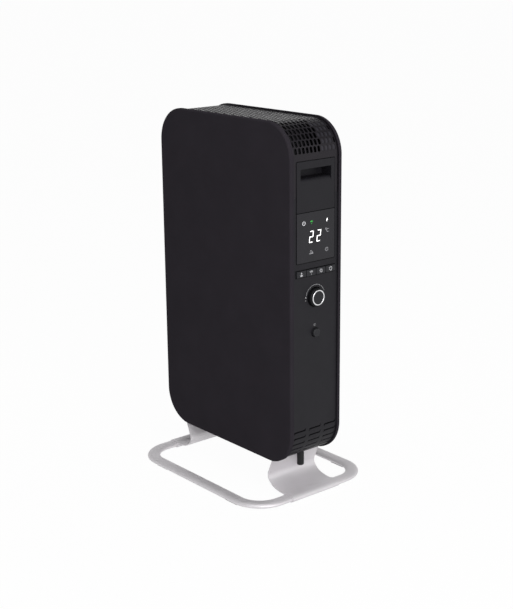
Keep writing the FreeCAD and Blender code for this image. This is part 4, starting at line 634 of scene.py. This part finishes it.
# Each sign's middle (Y, Z) in millimetres, its shapes, and its light or ink.
WINDOW_SIGNS = {
    "display_power_sign": ((-25.2, 463.5), power_shapes(2.9, 0.9), lit_grey),
    "display_wireless_sign": ((-9.0, 463.4), wireless_shapes(4.7, 0.7), lit_green),
    "display_bolt_sign": ((23.4, 462.7), bolt_shapes(6.5), lit_white),
    "display_celsius_sign": ((23.8, 446.6), degree_shapes(8.2, 0.95), lit_dim),
    "display_warmth_sign": ((-9.7, 416.6), warmth_shapes(7.2, 0.9), lit_dim),
    "display_mode_sign": ((23.1, 415.8), dial_shapes(2.8, 0.8), lit_dim),
}
for name, (middle, shapes, light) in WINDOW_SIGNS.items():
    artwork(name, window_face, middle, shapes, light, "heater")

KEY_SIGNS = {
    "lock_key": person_shapes(6.6),
    "wifi_key": wireless_shapes(5.4, 1.0),
    "mode_key": gear_shapes(2.6, 0.95),
    "timer_key": clock_shapes(2.9, 0.9),
}
for key, shapes in KEY_SIGNS.items():
    key_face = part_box(key)[1].x
    artwork(key.replace("key", "sign"), key_face, middle_of(key), shapes, ink_grey, key)

knob_middle = middle_of("knob_body")
SHELL_SIGNS = {
    "knob_scale": (knob_middle, arc(CENTRE, 20.2, 0.8, start=22, end=168, steps=40), ink_dim),
    "knob_scale_start": (knob_middle, disc((-20.4, 2.0), 0.95), ink_white),
    "knob_scale_rest": (knob_middle, disc((-20.4, -3.3), 0.8), ink_dim),
    "switch_sign": ((-1.6, 295.7), power_shapes(1.7, 0.6), ink_dim),
}
for name, (middle, shapes, ink) in SHELL_SIGNS.items():
    artwork(name, cap_face, middle, shapes, ink, "heater")


# ---------------------------------------------------------------- repeated pieces, by Geometry Nodes
WELD_DISTANCE = 1e-7


class Growth(Wiring):
    """A Geometry Nodes tree under construction, with named inputs for its sizes."""

    def __init__(self, name, sizes):
        super().__init__(bpy.data.node_groups.new(name, "GeometryNodeTree"))
        face = self.tree.interface
        face.new_socket("Geometry", in_out="INPUT", socket_type="NodeSocketGeometry")
        face.new_socket("Geometry", in_out="OUTPUT", socket_type="NodeSocketGeometry")
        for label in sizes:
            face.new_socket(label, in_out="INPUT", socket_type="NodeSocketFloat")
        face.new_socket("Material", in_out="INPUT", socket_type="NodeSocketMaterial")
        self.given = self.add("NodeGroupInput").outputs
        self.end = self.add("NodeGroupOutput")

    def share(self, label, part):
        """A part of one of the named sizes."""
        return self.reckon("MULTIPLY", self.given[label], part)

    def vector(self, x=0.0, y=0.0, z=0.0):
        return self.add("ShaderNodeCombineXYZ", {0: x, 1: y, 2: z}).outputs[0]

    def joined(self, *parts):
        """Several geometries as one."""
        join = self.add("GeometryNodeJoinGeometry")
        for part in parts:
            self.feed(join.inputs[0], part)
        return join.outputs[0]

    def repeated(self, instance, rotation=None):
        """One instance on every point, made real and given the material; gives the finished tree."""
        places = {"Points": self.given["Geometry"], "Instance": instance}
        if rotation is not None:
            places["Rotation"] = rotation
        copies = self.add("GeometryNodeInstanceOnPoints", places)
        real = self.add("GeometryNodeRealizeInstances", {"Geometry": copies.outputs[0]})
        painted = self.add("GeometryNodeSetMaterial", {
            "Geometry": real.outputs[0], "Material": self.given["Material"]})
        self.feed(self.end.inputs["Geometry"], painted.outputs[0])
        return self.tree


def grown(name, points, tree, sizes, material, turns=None):
    """A plain mesh made by a tree from points, whose sizes are given by the inputs' names."""
    seed = bpy.data.meshes.new(name)
    seed.from_pydata(points, [], [])
    if turns:
        attribute = seed.attributes.new("turn", "FLOAT", "POINT")
        attribute.data.foreach_set("value", turns)
    piece = bpy.data.objects.new(name, seed)
    scene.collection.objects.link(piece)
    modifier = piece.modifiers.new("grow", "NODES")
    modifier.node_group = tree
    values = {**sizes, "Material": material}
    for item in tree.interface.items_tree:
        if item.in_out == "INPUT" and item.name in values:
            modifier[item.identifier] = values[item.name]
    bpy.context.view_layer.update()
    evaluated = piece.evaluated_get(bpy.context.evaluated_depsgraph_get())
    result = bpy.data.meshes.new_from_object(evaluated)
    result.name = name
    piece.modifiers.remove(modifier)
    piece.data = result
    form = bmesh.new()
    form.from_mesh(result)
    bmesh.ops.remove_doubles(form, verts=form.verts, dist=WELD_DISTANCE)
    bmesh.ops.recalc_face_normals(form, faces=form.faces)
    form.to_mesh(result)
    form.free()
    return piece


def segment_tree():
    """Lit display segments: a bar with pointed ends on every point, turned by its attribute."""
    tree = Growth("display_segments", ("Length", "Width", "Depth"))
    width = tree.given["Width"]
    hexagon = tree.add("GeometryNodeMeshCircle", {
        "Vertices": 6, "Radius": tree.reckon("DIVIDE", width, math.sqrt(3))}, {"fill_type": "NGON"})
    place = tree.add("GeometryNodeInputPosition").outputs[0]
    across = tree.add("ShaderNodeSeparateXYZ", {0: place}).outputs["X"]
    spare = tree.reckon("MULTIPLY", tree.reckon("SUBTRACT", tree.given["Length"], width), 0.5)
    bar = tree.add("GeometryNodeSetPosition", {
        "Geometry": hexagon.outputs[0],
        "Offset": tree.vector(x=tree.reckon("MULTIPLY", tree.reckon("SIGN", across), spare))})
    thick = tree.add("GeometryNodeExtrudeMesh", {
        "Mesh": bar.outputs[0], "Offset": (0, 0, 1), "Offset Scale": tree.given["Depth"],
        "Individual": False})
    upright = tree.add("GeometryNodeTransform", {
        "Geometry": tree.joined(bar.outputs[0], thick.outputs["Mesh"]),
        "Rotation": (math.radians(90), 0, math.radians(90))})
    turn = tree.add("GeometryNodeInputNamedAttribute", {"Name": "turn"}, {"data_type": "FLOAT"})
    return tree.repeated(upright.outputs[0], tree.vector(x=turn.outputs[0]))


def screw_tree():
    """Pan-head screws that point up, with a cross recess in the head's underside."""
    tree = Growth("stand_screws", ("Head Radius", "Head Height", "Shank Radius", "Length"))
    head_height, head_radius = tree.given["Head Height"], tree.given["Head Radius"]
    head = tree.add("GeometryNodeMeshCone", {
        "Vertices": 32, "Side Segments": 3, "Radius Top": head_radius,
        "Radius Bottom": tree.share("Head Radius", 0.72), "Depth": head_height})
    shank = tree.add("GeometryNodeMeshCone", {
        "Vertices": 24, "Radius Top": tree.given["Shank Radius"],
        "Radius Bottom": tree.given["Shank Radius"], "Depth": tree.given["Length"]})
    raised = tree.add("GeometryNodeTransform", {
        "Geometry": shank.outputs["Mesh"], "Translation": tree.vector(z=head_height)})
    slot_width = tree.share("Head Radius", 0.22)
    below = tree.vector(z=tree.share("Head Height", -0.1))
    recessed = tree.add("GeometryNodeMeshBoolean", {"Mesh 1": head.outputs["Mesh"]},
                        {"operation": "DIFFERENCE"})
    for x, y in ((head_radius, slot_width), (slot_width, head_radius)):
        bar = tree.add("GeometryNodeMeshCube", {"Size": tree.vector(x, y, head_height)})
        sunk = tree.add("GeometryNodeTransform", {"Geometry": bar.outputs["Mesh"], "Translation": below})
        tree.feed(recessed.inputs["Mesh 2"], sunk.outputs[0])
    return tree.repeated(tree.joined(recessed.outputs["Mesh"], raised.outputs[0]))


# Bars and posts of the digit 2: (across, up) in halves of the digit's width and height.
TWO_BARS = ((0, 1), (0, 0), (0, -1))
TWO_POSTS = ((1, 0.5), (-1, -0.5))
DIGIT_WIDTH, DIGIT_HEIGHT, DIGIT_STROKE, DIGIT_LEAN = 8.0, 18.6, 1.4, math.radians(7)
DIGIT_MIDDLES = ((-9.5, 440.4), (6.3, 440.3))
SEGMENT_OVERLAP = DIGIT_STROKE * 0.2


def digit_points(places):
    """Where the segments of both digits lie on the window, in metres."""
    points = []
    for y, z in DIGIT_MIDDLES:
        for across, up in places:
            rise = up * (DIGIT_HEIGHT - DIGIT_STROKE) / 2
            side = across * (DIGIT_WIDTH - DIGIT_STROKE) / 2 + rise * math.tan(DIGIT_LEAN)
            points.append((window_face - SUNK, (y + side) * MM, (z + rise) * MM))
    return points


segments = segment_tree()
for name, places, length, turn in (
    ("digit_bars", TWO_BARS, DIGIT_WIDTH - DIGIT_STROKE, 0.0),
    ("digit_posts", TWO_POSTS, (DIGIT_HEIGHT - DIGIT_STROKE) / 2, math.pi / 2 - DIGIT_LEAN),
):
    points = digit_points(places)
    sizes = {"Length": (length + SEGMENT_OVERLAP) * MM, "Width": DIGIT_STROKE * MM, "Depth": SUNK + RAISED}
    piece = grown(name, points, segments, sizes, lit_white, [turn] * len(points))
    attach(piece, "heater")

screws_low, screws_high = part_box("stand_screws")
head_radius, head_height, shank_radius = 0.005, 0.0028, 0.0025
screw_places = [
    (x, y, screws_low.z)
    for x in (screws_low.x + head_radius, screws_high.x - head_radius)
    for y in (screws_low.y + head_radius, screws_high.y - head_radius)
]
screws = grown("cross_head_screws", screw_places, screw_tree(), {
    "Head Radius": head_radius, "Head Height": head_height, "Shank Radius": shank_radius,
    "Length": screws_high.z - screws_low.z - head_height,
}, nodes["stand_screws"].material_slots[0].material)
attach(screws, "heater")
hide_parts("stand_screws")
